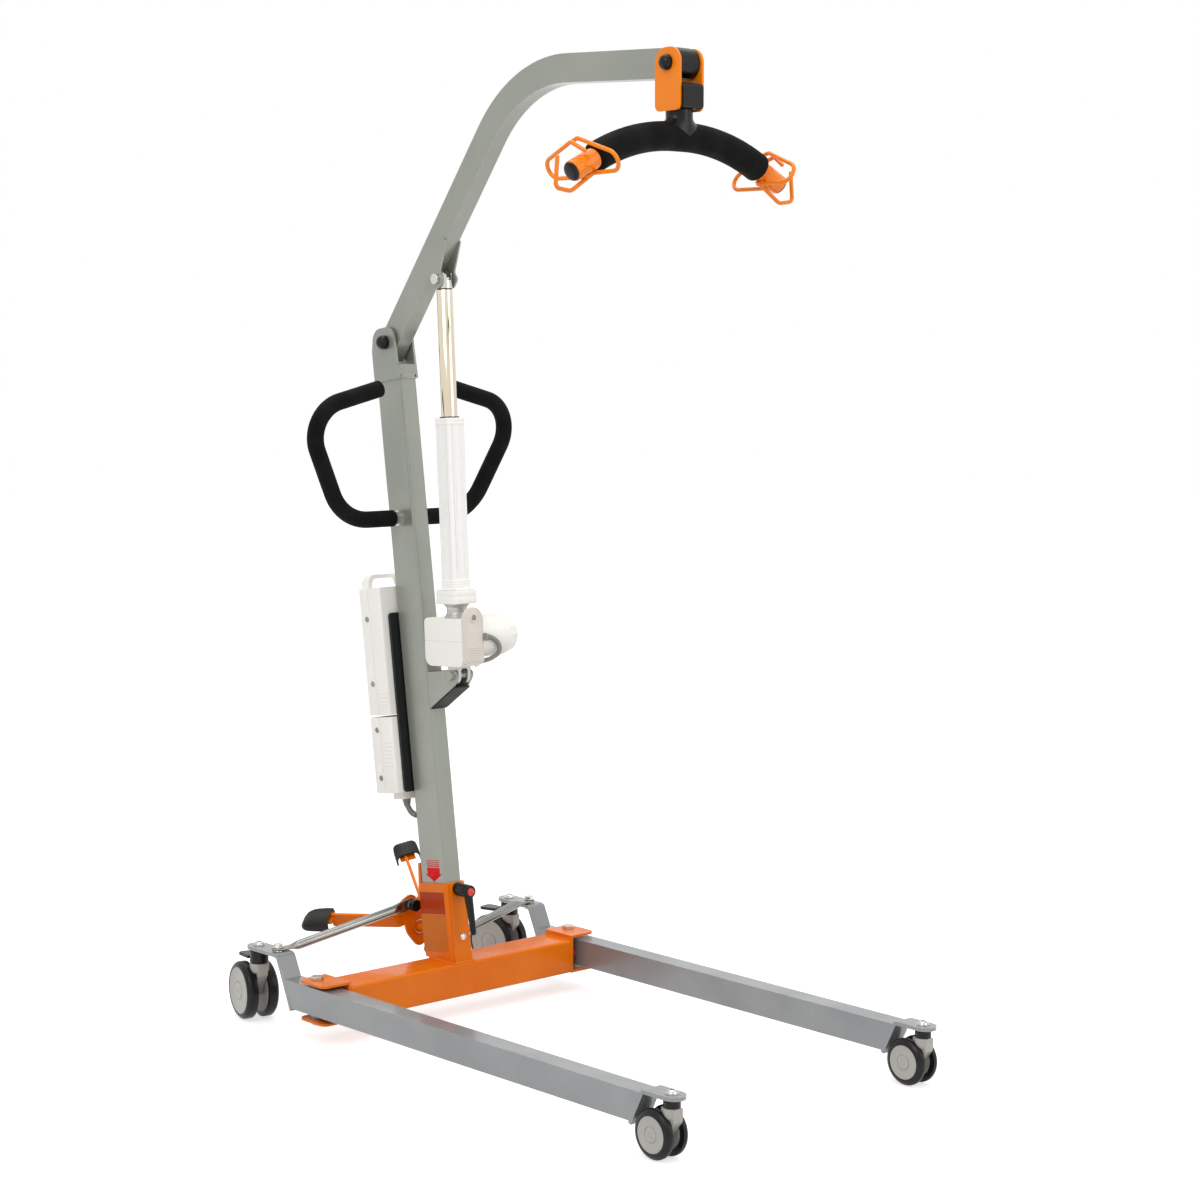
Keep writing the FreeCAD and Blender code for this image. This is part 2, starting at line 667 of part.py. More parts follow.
def actuator_bracket():
    """Two plates that flank the actuator's foot, with a stub bolt in each."""
    made = body("actuator_bracket", LEAN)
    outline = [("mast_front", "foot_s - 54"), ("foot_q + 2", "foot_s - 20", "foot_round"),
               ("foot_q + foot_round + 2", "foot_s - 4", "10"), ("foot_q + 9", "foot_s + 9.5", "8"),
               ("mast_front", "foot_s + 9.5")]
    side = plate(made, "XZ_Plane", outline, "mast_wide / 2 - foot_plate", "mast_wide / 2")
    head = disc(made, "XZ_Plane", "foot_q", "foot_s", "8.5", "mast_wide / 2", "mast_wide / 2 + 7")
    return mirrored(made, [side, head])


def box_plate():
    made = body("box_plate", LEAN)
    plate(made, "YZ_Plane", square("0", "(plate_low + plate_high) / 2", "plate_wide",
                                   "plate_high - plate_low", "6"),
          "mast_rear - plate_thick", "mast_rear")
    return made


def case(label, low, high, gap):
    """A rounded electronics case hung on the plate."""
    made = body(label, LEAN)
    front = "box_front - " + gap
    plate(made, "XY_Plane",
          [("box_rear", "-box_wide / 2", "14"), (front, "-box_wide / 2", "8"),
           (front, "box_wide / 2", "8"), ("box_rear", "box_wide / 2", "14")], low, high)
    return made


def control_box():
    """The control box, with the block under it that holds its lead."""
    made = case("control_box", "plate_low", "control_high", "0")
    fillet_rims(made, 4.0)
    plate(made, "XY_Plane", square("box_rear + 46", "-13", "30", "34", "3"),
          "plate_low - relief_low", "plate_low + weld")
    return made


def battery_case():
    """The battery, with a carrying handle that is part of its case."""
    made = case("battery_case", "battery_low", "battery_high", "slack")
    fillet_rims(made, 4.0)
    low = "box_rear + handle_behind"
    high = low + " + handle_deep"
    plate(made, "YZ_Plane", [("-handle_half", "battery_high - weld"), ("handle_half", "battery_high - weld"),
                             ("handle_half - 8", "battery_high + battery_handle", "12"),
                             ("8 - handle_half", "battery_high + battery_handle", "12")], low, high)
    plate(made, "YZ_Plane", [("9 - handle_half", "battery_high"), ("handle_half - 9", "battery_high"),
                             ("handle_half - 13", "battery_high + battery_handle - 7", "6"),
                             ("13 - handle_half", "battery_high + battery_handle - 7", "6")],
          low + " - 8", high + " + 8", "Pocket")
    return made


def fillet_rims(made, radius):
    """Rounds every edge of the top and bottom faces."""
    document.recompute()
    solid = made.Tip
    shape = solid.Shape
    low = shape.BoundBox.ZMin
    high = shape.BoundBox.ZMax
    rims = []
    for index, edge in enumerate(shape.Edges, start=1):
        box = edge.BoundBox
        if box.ZLength < 0.01 and (abs(box.ZMin - low) < 0.01 or abs(box.ZMax - high) < 0.01):
            rims.append("Edge%d" % index)
    feature = made.newObject("PartDesign::Fillet", "Fillet")
    feature.Base = (solid, rims)
    feature.Radius = radius


def control_lead():
    """The ribbed lead from the bottom of the control box into the mast's rear face."""
    made = document.addObject("Part::Feature", "control_lead")
    made.Label = "control_lead"
    start = Vector(V["box_rear"] + 52, -16, V["plate_low"] - V["relief_low"])
    points = [start, start + Vector(0, 0, -12), start + Vector(8, 2, -26),
              Vector(V["mast_rear"] - 1.5, -13, start.z - 30)]
    made.Shape = cord(points, V["lead"] / 2)
    made.Placement = LEAN
    SUBPARTS.append(made)
    return made


def cord(points, radius):
    """A tube of straight runs joined by arcs as large as the two runs at each corner allow."""
    edges = []
    last = points[0]
    for before, corner, after in zip(points, points[1:], points[2:]):
        to_back = (before - corner).normalize()
        to_front = (after - corner).normalize()
        turn = math.pi - to_back.getAngle(to_front)
        reach = 0.45 * min((before - corner).Length, (after - corner).Length)
        bend = reach / math.tan(turn / 2)
        print("cord bend radius %.1f mm" % bend)
        enter = corner + to_back * reach
        leave = corner + to_front * reach
        centre = corner + (to_back + to_front).normalize() * (bend / math.cos(turn / 2))
        middle = centre + (corner - centre).normalize() * bend
        edges.append(Part.LineSegment(last, enter).toShape())
        edges.append(Part.Arc(enter, middle, leave).toShape())
        last = leave
    edges.append(Part.LineSegment(last, points[-1]).toShape())
    path = Part.Wire(edges)
    start = (points[1] - points[0]).normalize()
    circle = Part.Wire(Part.Circle(points[0], start, radius).toShape())
    tube = path.makePipeShell([circle], True, True)
    print("cord volume ratio %.4f" % (tube.Volume / (math.pi * radius ** 2 * path.Length)))
    return tube


# ---------------------------------------------------------------- boom
def boom_tube():
    """The boom: a rectangular tube that rises, bends and droops to the hanger."""
    made = body("boom_tube", Placement(Vector(V["head_x"], 0, V["head_z"]), Rotation()))
    outer = "boom_tall / 2"
    inner = "boom_tall / 2 - boom_wall"
    for half, bend, wide, kind in ((outer, "boom_bend", "boom_wide / 2", "Pad"),
                                   (inner, "boom_bend", "boom_wide / 2 - boom_wall", "Pocket")):
        plate(made, "XZ_Plane", boom_outline(half), "-(%s)" % wide, wide, kind)
    disc(made, "XZ_Plane", "0", "0", "head_pin / 2 + run_fit", "-40", "40", "Pocket")
    disc(made, "XZ_Plane", "tip_along", "tip_up", "hanger_pin / 2", "-40", "40", "Pocket")
    return made


def boom_outline(half):
    """The side view of a tube of that half height, about the boom's centre line."""
    tail_x = "-boom_tail * cos(boom_rise * 1 deg)"
    tail_z = "-boom_tail * sin(boom_rise * 1 deg)"
    side_x = "(%s) * sin(boom_rise * 1 deg)" % half
    side_z = "(%s) * cos(boom_rise * 1 deg)" % half
    mitre = "(%s) * tan(bend_turn / 2 * 1 deg)" % half
    end_x = "(%s) * sin(boom_droop * 1 deg)" % half
    end_z = "(%s) * cos(boom_droop * 1 deg)" % half
    up_x = "corner_along - %s + (%s) * cos(boom_rise * 1 deg)" % (side_x, mitre)
    up_z = "corner_up + %s + (%s) * sin(boom_rise * 1 deg)" % (side_z, mitre)
    down_x = "corner_along + %s - (%s) * cos(boom_rise * 1 deg)" % (side_x, mitre)
    down_z = "corner_up - %s - (%s) * sin(boom_rise * 1 deg)" % (side_z, mitre)
    return [("%s - %s" % (tail_x, side_x), "%s + %s" % (tail_z, side_z)),
            (up_x, up_z, "boom_bend + %s" % half),
            ("tube_end_along + %s" % end_x, "tube_end_up + %s" % end_z),
            ("tube_end_along - %s" % end_x, "tube_end_up - %s" % end_z),
            (down_x, down_z, "boom_bend - (%s)" % half),
            ("%s + %s" % (tail_x, side_x), "%s - %s" % (tail_z, side_z))]


def boom_lugs():
    """Triangular plates on both sides of the boom that hold the actuator's upper bolt."""
    made = body("boom_lugs", RISE)
    outline = [("lug_along - 12", "-boom_tall / 2 + 16", "6"), ("lug_along + 66", "-boom_tall / 2 + 10", "4"),
               ("lug_along + 66", "-boom_tall / 2 - 2", "4"), ("lug_along + lug_round", "-lug_under", "8"),
               ("lug_along + lug_round - 4", "-lug_under - lug_round", "8"),
               ("lug_along - lug_round", "-lug_under - lug_round", "12"),
               ("lug_along - lug_round", "-lug_under", "6")]
    side = plate(made, "XZ_Plane", outline, "boom_wide / 2", "boom_wide / 2 + lug_thick")
    mirrored(made, [side])
    disc(made, "XZ_Plane", "lug_along", "-lug_under", "lug_bolt / 2", "-40", "40", "Pocket")
    return made


def lug_bolt():
    """The actuator's upper bolt: a shank with a round head on each side."""
    made = body("lug_bolt", RISE)
    shank = disc(made, "XZ_Plane", "lug_along", "-lug_under", "lug_bolt / 2", "-1",
                 "boom_wide / 2 + lug_thick + 1")
    head = disc(made, "XZ_Plane", "lug_along", "-lug_under", "9", "boom_wide / 2 + lug_thick",
                "boom_wide / 2 + lug_thick + 6")
    return mirrored(made, [shank, head])


def boom_end_cap():
    """The black drum that closes the boom's end inside the hanger."""
    made = body("boom_end_cap", DROOP)
    disc(made, "XZ_Plane", "0", "0", "cap_round", "-cap_half", "cap_half")
    plate(made, "XZ_Plane", [("-40", "-40"), ("tube_over", "-40"), ("tube_over", "40"), ("-40", "40")],
          "-cap_half - 1", "cap_half + 1", "Pocket")
    return made


def hanger_pin():
    """The pin through the boom's end, with domed knobs."""
    made = body("hanger_pin", TIP)
    half = "hanger_gap / 2 + cheek"
    shaft = disc(made, "XZ_Plane", "0", "0", "hanger_pin / 2", "-1", half + " + 2")
    knob = disc(made, "XZ_Plane", "0", "0", "knob / 2", half + " + slack", half + " + 13")
    return mirrored(made, [shaft, knob])


# ---------------------------------------------------------------- actuator
def piston_rod():
    made = body("piston_rod", ACTUATOR)
    disc(made, "XY_Plane", "0", "0", "rod / 2", "rod_low", "rod_top")
    return made


def rod_fork():
    """The rod's silver fork: two rounded lobes on the upper bolt."""
    made = body("rod_fork", ACTUATOR)
    disc(made, "XY_Plane", "0", "0", "rod / 2", "rod_top", "pins_apart + rod / 2 + 1")
    dome = sketch(made, "XZ_Plane", "-rod")
    draw(dome, [("-rod", "rod_top - 1"), ("rod", "rod_top - 1"), ("rod", "pins_apart + rod"),
                ("-rod", "pins_apart + rod")])
    draw(dome, [("-rod / 2 - 0.01", "rod_top - 0.5"), ("rod / 2 + 0.01", "rod_top - 0.5"),
                ("rod / 2 + 0.01", "pins_apart + rod / 2", "rod / 2 - 0.3"),
                ("-rod / 2 - 0.01", "pins_apart + rod / 2", "rod / 2 - 0.3")])
    extrude(made, "Pocket", dome, "-rod", "rod")
    plate(made, "YZ_Plane", [("-5", "pins_apart - 3", "4.9"), ("5", "pins_apart - 3", "4.9"),
                             ("5", "pins_apart + rod"), ("-5", "pins_apart + rod")], "-rod", "rod", "Pocket")
    disc(made, "XZ_Plane", "0", "pins_apart", "lug_bolt / 2 + run_fit", "-rod", "rod", "Pocket")
    return made


def actuator_tube():
    """The square housing that the rod slides in."""
    made = body("actuator_tube", ACTUATOR)
    plate(made, "XY_Plane", square("0", "0", "housing", "housing", "6"), "housing_low", "housing_high")
    disc(made, "XY_Plane", "0", "0", "rod / 2 + slack", "housing_low - 1", "housing_high + 1", "Pocket")
    return made


def tube_collar():
    made = body("tube_collar", ACTUATOR)
    plate(made, "XY_Plane", square("0", "0", "collar", "collar", "10"), "collar_low", "housing_low")
    return made


def gearbox_neck():
    """The cast neck between gear housing and collar, waisted all round."""
    made = body("gearbox_neck", ACTUATOR)
    profile = sketch(made, "XZ_Plane")
    draw(profile, [("0", "neck_low"), ("neck_foot / 2", "neck_low"), ("neck_waist / 2", "neck_low + 8", "7"),
                   ("neck_waist / 2", "collar_low - 7", "7"), ("neck_foot / 2 + 1", "collar_low"),
                   ("0", "collar_low")])
    turned = made.newObject("PartDesign::Revolution", "Revolution")
    turned.Profile = profile
    turned.ReferenceAxis = (profile, ["V_Axis"])
    return made


def gearbox_cover():
    """The cream gear housing, deeper than wide."""
    made = body("gearbox_cover", ACTUATOR)
    plate(made, "XZ_Plane", [("-gear_rear", "gear_low", "16"), ("gear_front - arch_plate", "gear_low", "12"),
                             ("gear_front - arch_plate", "neck_low", "6"), ("-gear_rear", "neck_low", "8")],
          "-gear_wide / 2", "gear_wide / 2")
    return made


def side_plate():
    """The arched end cover on the front of the gear housing."""
    made = body("side_plate", ACTUATOR)
    plate(made, "YZ_Plane", [("-gear_wide / 2", "gear_low + 4", "8"), ("gear_wide / 2", "gear_low + 4", "8"),
                             ("gear_wide / 2", "collar_low", "gear_wide / 2 - 1"),
                             ("-gear_wide / 2", "collar_low", "gear_wide / 2 - 1")],
          "gear_front - arch_plate", "gear_front")
    return made


def motor_cover():
    """The motor's round shell on the gear housing's left side."""
    made = body("motor_cover", ACTUATOR)
    disc(made, "XZ_Plane", "5", "motor_level", "motor / 2 - 2", "gear_wide / 2", "motor_reach - 22")
    cone = disc(made, "XZ_Plane", "5", "motor_level", "motor / 2 - 2", "motor_reach - 22", "motor_reach")
    cone.TaperAngle = -12
    return made


def motor_lead():
    """The ribbed lead that loops over the motor's front and back to the gear housing."""
    made = document.addObject("Part::Feature", "motor_lead")
    made.Label = "motor_lead"
    side = V["gear_wide"] / 2 + 1.0
    points = [Vector(46, side, 66), Vector(46, side + 17, 63), Vector(44.5, side + 31, 52),
              Vector(40, side + 37, 37), Vector(29, side + 27, 26), Vector(21, side + 12, 22),
              Vector(17, side, 20)]
    made.Shape = cord(points, V["motor_lead"] / 2)
    made.Placement = ACTUATOR
    SUBPARTS.append(made)
    return made


def clevis():
    """The actuator's foot: two rounded lugs joined by their own short pin."""
    made = body("clevis", ACTUATOR)
    half = "mast_wide / 2 - foot_plate - slack"
    outline = [("-foot_round", "gear_low"), ("-foot_round", "-foot_round", "foot_round - 0.5"),
               ("foot_round", "-foot_round", "foot_round - 0.5"), ("foot_round", "gear_low")]
    plate(made, "XZ_Plane", outline, "-(%s)" % half, half)
    plate(made, "YZ_Plane", [("-clevis_gap / 2", "-foot_round - 1"), ("clevis_gap / 2", "-foot_round - 1"),
                             ("clevis_gap / 2", "gear_low - 4", "4"), ("-clevis_gap / 2", "gear_low - 4", "4")],
          "-20", "20", "Pocket")
    disc(made, "XZ_Plane", "0", "0", "foot_pin / 2", "-(%s)" % half, half)
    return made


# ---------------------------------------------------------------- hanger and spreader
def hanger_bracket():
    """Two cheeks that hang from the boom's end and hold the block between them."""
    made = body("hanger_bracket", TIP)
    outline = [("-hanger_deep / 2", "-hanger_low", "10"), ("hanger_deep / 2", "-hanger_low", "10"),
               ("hanger_deep / 2", "hanger_high", "hanger_high - 1"),
               ("-hanger_deep / 2", "hanger_high", "hanger_high - 1")]
    side = plate(made, "XZ_Plane", outline, "hanger_gap / 2", "hanger_gap / 2 + cheek")
    mirrored(made, [side])
    disc(made, "XZ_Plane", "0", "0", "hanger_pin / 2 + run_fit", "-40", "40", "Pocket")
    return made


def hanger_block():
    """The black swivel block between the cheeks."""
    made = body("hanger_block", TIP)
    plate(made, "XZ_Plane",
          [("-hanger_deep / 2 + 2", "-hanger_low + 3", "5"), ("hanger_deep / 2 + 4", "-hanger_low + 3", "6"),
           ("hanger_deep / 2 + 4", "-block_top - 6", "8"), ("6", "-block_top - 4", "6"),
           ("-hanger_deep / 2 + 2", "-block_top - 18", "6")], "-hanger_gap / 2", "hanger_gap / 2")
    disc(made, "XY_Plane", "0", "0", "neck_pin / 2 + run_fit", "-hanger_low", "-hanger_low + 24", "Pocket")
    return made


def spreader_neck():
    """The round neck under the block, on a pin that turns in it."""
    made = body("spreader_neck", TIP)
    disc(made, "XY_Plane", "0", "0", "neck / 2", "-crown_drop", "-hanger_low + 3 - slack")
    disc(made, "XZ_Plane", "0", "-crown_drop", "bar_foam / 2 + slack", "-neck", "neck", "Pocket")
    disc(made, "XY_Plane", "0", "0", "neck_pin / 2", "-crown_drop", "-hanger_low + 20")
    disc(made, "XZ_Plane", "0", "-crown_drop", "bar_tube / 2", "-neck", "neck", "Pocket")
    return made


def bar_path(end):
    """One half of the spreader's arch: level at the crown, one bend, then straight to the end."""
    return [("0", "-crown_drop"), ("arch_corner", "-crown_drop", "arch_bend"),
            (end, "-crown_drop - (%s - arch_corner) * tan(arch_slope * 1 deg)" % end)]


def spreader_bar():
    made = body("spreader_bar", TIP)
    pipe = bent(made, "YZ_Plane", bar_path("sleeve_end"), "XZ_Plane", "0", "0", "-crown_drop", "bar_tube / 2")
    return mirrored(made, [pipe])


def bar_cover():
    """The thick foam on the spreader's arch."""
    made = body("bar_foam", TIP)
    pipe = bent(made, "YZ_Plane", bar_path("foam_end"), "XZ_Plane", "0", "0", "-crown_drop", "bar_foam / 2")
    mirrored(made, [pipe])
    path = sketch(made, "YZ_Plane")
    draw(path, bar_path("sleeve_end"), closed=False)
    profile = sketch(made, "XZ_Plane")
    ring(profile, "0", "-crown_drop", "bar_tube / 2")
    hollow = made.newObject("PartDesign::SubtractivePipe", "Hollow")
    hollow.Profile = profile
    hollow.Spine = path
    mirrored(made, [hollow])
    disc(made, "XY_Plane", "0", "0", "neck_pin / 2", "-crown_drop", "-crown_drop + bar_foam", "Pocket")
    return made


def end_frame(side):
    """The slanting straight end of the spreader: its local Y runs outward along the bar."""
    turn = -side * V["arch_slope"]
    middle = V["foam_end"]
    drop = V["crown_drop"] + (middle - V["arch_corner"]) * math.tan(math.radians(V["arch_slope"]))
    place = Placement(Vector(0, side * middle, -drop), Rotation(Vector(1, 0, 0), turn))
    return TIP.multiply(place)


def end_pair(label, shape_of):
    """Two equal solids at the spreader's ends, as one group."""
    group = []
    for side in (1, -1):
        shape = shape_of(side)
        shape.Placement = end_frame(side)
        group.append(shape)
    made = document.addObject("Part::Feature", label)
    made.Label = label
    made.Shape = Part.makeCompound(group)
    SUBPARTS.append(made)
    return made


def end_sleeves():
    """Orange sleeves on the spreader's straight ends."""
    long = (V["sleeve_end"] - V["foam_end"]) / cosd(V["arch_slope"])

    def sleeve(side):
        outer = Part.makeCylinder(V["sleeve"] / 2, long, Vector(), Vector(0, side, 0))
        return outer.cut(Part.makeCylinder(V["bar_tube"] / 2, long, Vector(), Vector(0, side, 0)))
    return end_pair("end_sleeves", sleeve)


def bent_wire(points, bends, radius):
    """A round wire through points, each inner corner rounded by its own bend radius."""
    edges = []
    last = points[0]
    for corner, after, bend in zip(points[1:], points[2:], bends):
        to_back = (last - corner).normalize()
        to_front = (after - corner).normalize()
        turn = math.pi - to_back.getAngle(to_front)
        reach = bend * math.tan(turn / 2)
        enter = corner + to_back * reach
        leave = corner + to_front * reach
        centre = corner + (to_back + to_front).normalize() * (bend / math.cos(turn / 2))
        middle = centre + (corner - centre).normalize() * bend
        edges.append(Part.LineSegment(last, enter).toShape())
        edges.append(Part.Arc(enter, middle, leave).toShape())
        last = leave
    edges.append(Part.LineSegment(last, points[-1]).toShape())
    path = Part.Wire(edges)
    circle = Part.Wire(Part.Circle(points[0], (points[1] - points[0]).normalize(), radius).toShape())
    return path.makePipeShell([circle], True, True)


def sling_hooks():
    """Three open wire hooks under each sleeve: one forward, one rearward and one outward."""
    wire = V["hook_wire"] / 2
    under = -(V["sleeve"] / 2 + wire - 0.5)
    top = V["hook_top"]
    bends = (V["hook_bend"], V["hook_bend_top"])
    long = (V["sleeve_end"] - V["foam_end"]) / cosd(V["arch_slope"])

    def hooks(side):
        forward = side * V["hook_first"]
        rearward = side * V["hook_second"]
        solids = [
            bent_wire([Vector(-8, forward, under), Vector(V["hook_reach"], forward, under + 2),
                       Vector(-6, forward, top), Vector(-24, forward, top - 6.5)], bends, wire),
            bent_wire([Vector(8, rearward, under), Vector(-V["hook_reach_rear"], rearward, under + 2),
                       Vector(-6, rearward, top), Vector(20, rearward, top - 17)], bends, wire),
            bent_wire([Vector(0, side * 5, under),
                       Vector(0, side * (V["outer_reach"] - V["outer_drop"]), -V["outer_drop"]),
                       Vector(0, side * V["outer_reach"], 17 - V["outer_drop"]),
                       Vector(0, side * (V["outer_reach"] - V["outer_drop"]), V["outer_rise"])],
                      (V["hook_bend"], V["hook_bend"] / 2), wire)]
        near = V["hook_first"] - V["hook_wire"]
        far = V["hook_second"] + V["hook_wire"]
        low = min(side * near, side * far)
        saddle = Part.makeBox(V["sleeve"] / 2, far - near, V["weld_pad"],
                              Vector(-V["sleeve"] / 4, low, under - 0.6))
        whole = solids[0].fuse(solids[1:] + [saddle])
        core = Part.makeCylinder(V["sleeve"] / 2, long, Vector(), Vector(0, side, 0))
        return whole.cut(core).removeSplitter()
    return end_pair("sling_hooks", hooks)


# ---------------------------------------------------------------- pedal and push rods
def beside(along, across, side):
    """A point in plan: along a pedal arm's own direction from its end, and across it."""
    return ("-pad_back - (%s) * sin(arm_turn * 1 deg) + (%s) * cos(arm_turn * 1 deg)" % (along, across),
            "%s(pad_out + (%s) * cos(arm_turn * 1 deg) + (%s) * sin(arm_turn * 1 deg))" % (side, along, across))


def trimmed(made, low, high):
    """Cuts what lies under or over a band that climbs to the rear with the pedal's arms."""
    near = "1 - rocker_rear"
    far = "-(pad_back + 120)"
    climb = "arm_grade * (pad_back + 120 - rocker_rear)"
    plate(made, "XZ_Plane", [(near, low), (near, "-100"), (far, "-100"), (far, "%s + %s" % (low, climb))],
          "-250", "250", "Pocket")
    plate(made, "XZ_Plane", [(near, high), (far, "%s + %s" % (high, climb)), (far, "200"), (near, "200")],
          "-250", "250", "Pocket")


def pedal_rocker():
    """The rocker plate on its hub, and a bent plate on edge that carries both pads' tabs."""
    made = body("pedal_rocker", PEDAL)
    for side in ("", "-"):
        plate(made, "XY_Plane", [beside("-6", "-14", side), beside("pad_long - 16", "-14", side),
                                 beside("pad_long - 16", "14", side), beside("-6", "14", side)], "0", "120")
    trimmed(made, "tab_top - pad_tab", "tab_top")
    for side in ("", "-"):
        plate(made, "XY_Plane",
              [("1 - rocker_rear", "0"), ("1 - rocker_rear", side + "(arm_root)", "arm_bend"),
               beside("0", "0", side), beside("0", "-rocker_thick", side),
               ("1 - rocker_rear - rocker_thick", side + "(arm_root - rocker_thick * tan(arm_turn / 2 * 1 deg))",
                "arm_bend - rocker_thick"),
               ("1 - rocker_rear - rocker_thick", "0")], "0", "120")
    trimmed(made, "arm_low", "arm_low + arm_tall")
    waist = "rocker_waist"
    lobe = "rocker_lobe"
    high = "stud_reach + rocker_lobe - 1"
    plate(made, "YZ_Plane",
          [("-%s - 3" % lobe, "-%s" % high, lobe), ("%s + 3" % lobe, "-%s" % high, lobe), (waist, "0", "30"),
           ("%s + 3" % lobe, high, lobe), ("-%s - 3" % lobe, high, lobe), ("-" + waist, "0", "30")],
          "-rocker_rear", "-rocker_front")
    disc(made, "YZ_Plane", "0", "0", "rocker_hub / 2", "-rocker_rear - 8", "-rocker_front + 3")
    disc(made, "YZ_Plane", "0", "0", "rocker_pin / 2 + run_fit", "-rocker_rear - 3.5", "-rocker_front + 9",
         "Pocket")
    return made


def pedal_pads():
    """Two crowned rubber foot pads, hollow underneath and open towards the arm."""
    made = body("pedal_pads", PEDAL)
    half = "pad_wide / 2"
    inner = "pad_wide / 2 - pad_wall"
    for side in ("", "-"):
        plate(made, "XY_Plane",
              [beside("0", "-" + half, side) + ("5",), beside("pad_long", "-" + half, side) + ("20",),
               beside("pad_long", half, side) + ("20",), beside("0", half, side) + ("5",)], "0", "120")
    trimmed(made, "tab_top", "pad_top")
    for side in ("", "-"):
        plate(made, "XY_Plane",
              [beside("1", "-" + half, side), beside("pad_long", "-" + half, side) + ("20",),
               beside("pad_long", half, side) + ("20",), beside("1", half, side), beside("1", inner, side),
               beside("pad_long - pad_wall", inner, side) + ("15",),
               beside("pad_long - pad_wall", "-(%s)" % inner, side) + ("15",),
               beside("1", "-(%s)" % inner, side)], "0", "120")
    trimmed(made, "arm_low + pad_low", "pad_top")
    return made


def rocker_studs():
    """Two studs with cap nuts that carry the push rods' inner ends."""
    made = body("rocker_studs", PEDAL)
    features = [disc(made, "YZ_Plane", "0", "stud_reach", "stud / 2", "-rocker_front", "-rod_plane + 10"),
                disc(made, "YZ_Plane", "0", "stud_reach", "10.5", "-rod_plane + 4", "-rod_plane + 14"),
                disc(made, "YZ_Plane", "0", "stud_reach", "9.5", "-rocker_front", "-rod_plane - 4")]
    return mirrored(made, features, "XY_Plane")


def push_rod(label, side, stud_up):
    """A tube with flattened, turned ends between a leg's tie bolt and a stud of the rocker."""
    bolt = tie_point(side)
    stud = Vector(-V["rod_plane"], -stud_up * V["stud_reach"] * sind(V["rocker_tilt"]),
                  V["rocker_level"] + stud_up * (V["stud_reach"] * cosd(V["rocker_tilt"]) + V["eye_lift"]))
    flat = V["push_flat"]
    inward = Vector(stud.x - bolt.x, stud.y - bolt.y, 0).normalize()
    across = Vector(0, 0, 1).cross(inward)
    outer = Part.makeBox(34, V["push_tube"] + 6, flat, Vector(0, -V["push_tube"] / 2 - 3, -flat / 2))
    outer = outer.fuse(Part.makeCylinder(V["push_tube"] / 2 + 3, flat, Vector(0, 0, -flat / 2)))
    outer = outer.cut(Part.makeCylinder(V["tie_bolt"] / 2 + V["run_fit"], 30, Vector(0, 0, -15)))
    outer.Placement = Placement(bolt, Rotation(Vector(1, 0, 0), inward))
    away = Vector(0, bolt.y - stud.y, bolt.z - stud.z).normalize()
    eye = V["push_eye"] + 4.5
    inner = Part.makeCylinder(eye, flat, Vector(0, 0, -flat / 2))
    inner = inner.fuse(Part.makeBox(38, V["push_tube"] + 4, flat, Vector(0, -V["push_tube"] / 2 - 2, -flat / 2)))
    inner = inner.cut(Part.makeCylinder(V["push_eye"], 30, Vector(0, 0, -15)))
    inner.Placement = Placement(stud, Rotation(away, Vector(1, 0, 0).cross(away), Vector(1, 0, 0), "XZY"))
    start = bolt + inward * 30
    end = stud + away * 34
    tube = Part.makeCylinder(V["push_tube"] / 2, (end - start).Length, start, end - start)
    made = document.addObject("Part::Feature", label)
    made.Label = label
    made.Shape = tube.fuse([outer, inner]).removeSplitter()
    SUBPARTS.append(made)
    return made


def tie_point(side):
    """The middle of a push rod's outer end, on the leg's tie bolt."""
    turn = math.radians(-side * V["toe_in"])
    back = -V["tie_bolt_back"]
    level = V["tie_flat"] + V["push_flat"] / 2
    return Vector(back * math.cos(turn), side * V["pivot_out"] + back * math.sin(turn), level)


# ---------------------------------------------------------------- legs
def leg(label, side):
    """A leg: rectangular tube, cut on a slant at both ends, with a pivot bush and two caster straps."""
    made = body(label, leg_place(side))
    plate(made, "XZ_Plane",
          [("leg_rear + leg_slant", "leg_low"), ("leg_front - leg_slant", "leg_low"), ("leg_front", "leg_high"),
           ("leg_rear", "leg_high")], "-leg_wide / 2", "leg_wide / 2")
    plate(made, "YZ_Plane",
          square("0", "leg_low + leg_tall / 2", "leg_wide - 2 * leg_wall", "leg_tall - 2 * leg_wall", "2"),
          "leg_rear - 10", "leg_front + 10", "Pocket")
    disc(made, "XY_Plane", "0", "0", "pivot_bolt / 2 + 7", "beam_low + flange_thick + slack",
         "flange_top - flange_thick - slack")
    disc(made, "XY_Plane", "0", "0", "pivot_bolt / 2 + run_fit", "0", "flange_top", "Pocket")
    strap(made, "rear_strap_top - strap_thick / 2", "-rear_stem - 4",
          [("rear_strap_bend", "rear_strap_top - strap_thick / 2", "8"),
           ("leg_rear - 4", "leg_high + 3", "20"), ("leg_rear + leg_slant - 3", "leg_low - 4")])
    strap(made, "front_strap_top - strap_thick / 2", "front_stem + 4",
          [("leg_front + 4.5", "front_strap_top - strap_thick / 2", "5"),
           ("leg_front - leg_slant + 1", "leg_low - 4")])
    for x in ("-rear_stem", "front_stem"):
        disc(made, "XY_Plane", x, "0", "stem_bolt / 2", "leg_high - 10", "rear_strap_top + 5", "Pocket")
    disc(made, "XY_Plane", "-tie_bolt_back", "0", "tie_bolt / 2", "leg_high + 5", "rear_strap_top + 5", "Pocket")
    return made


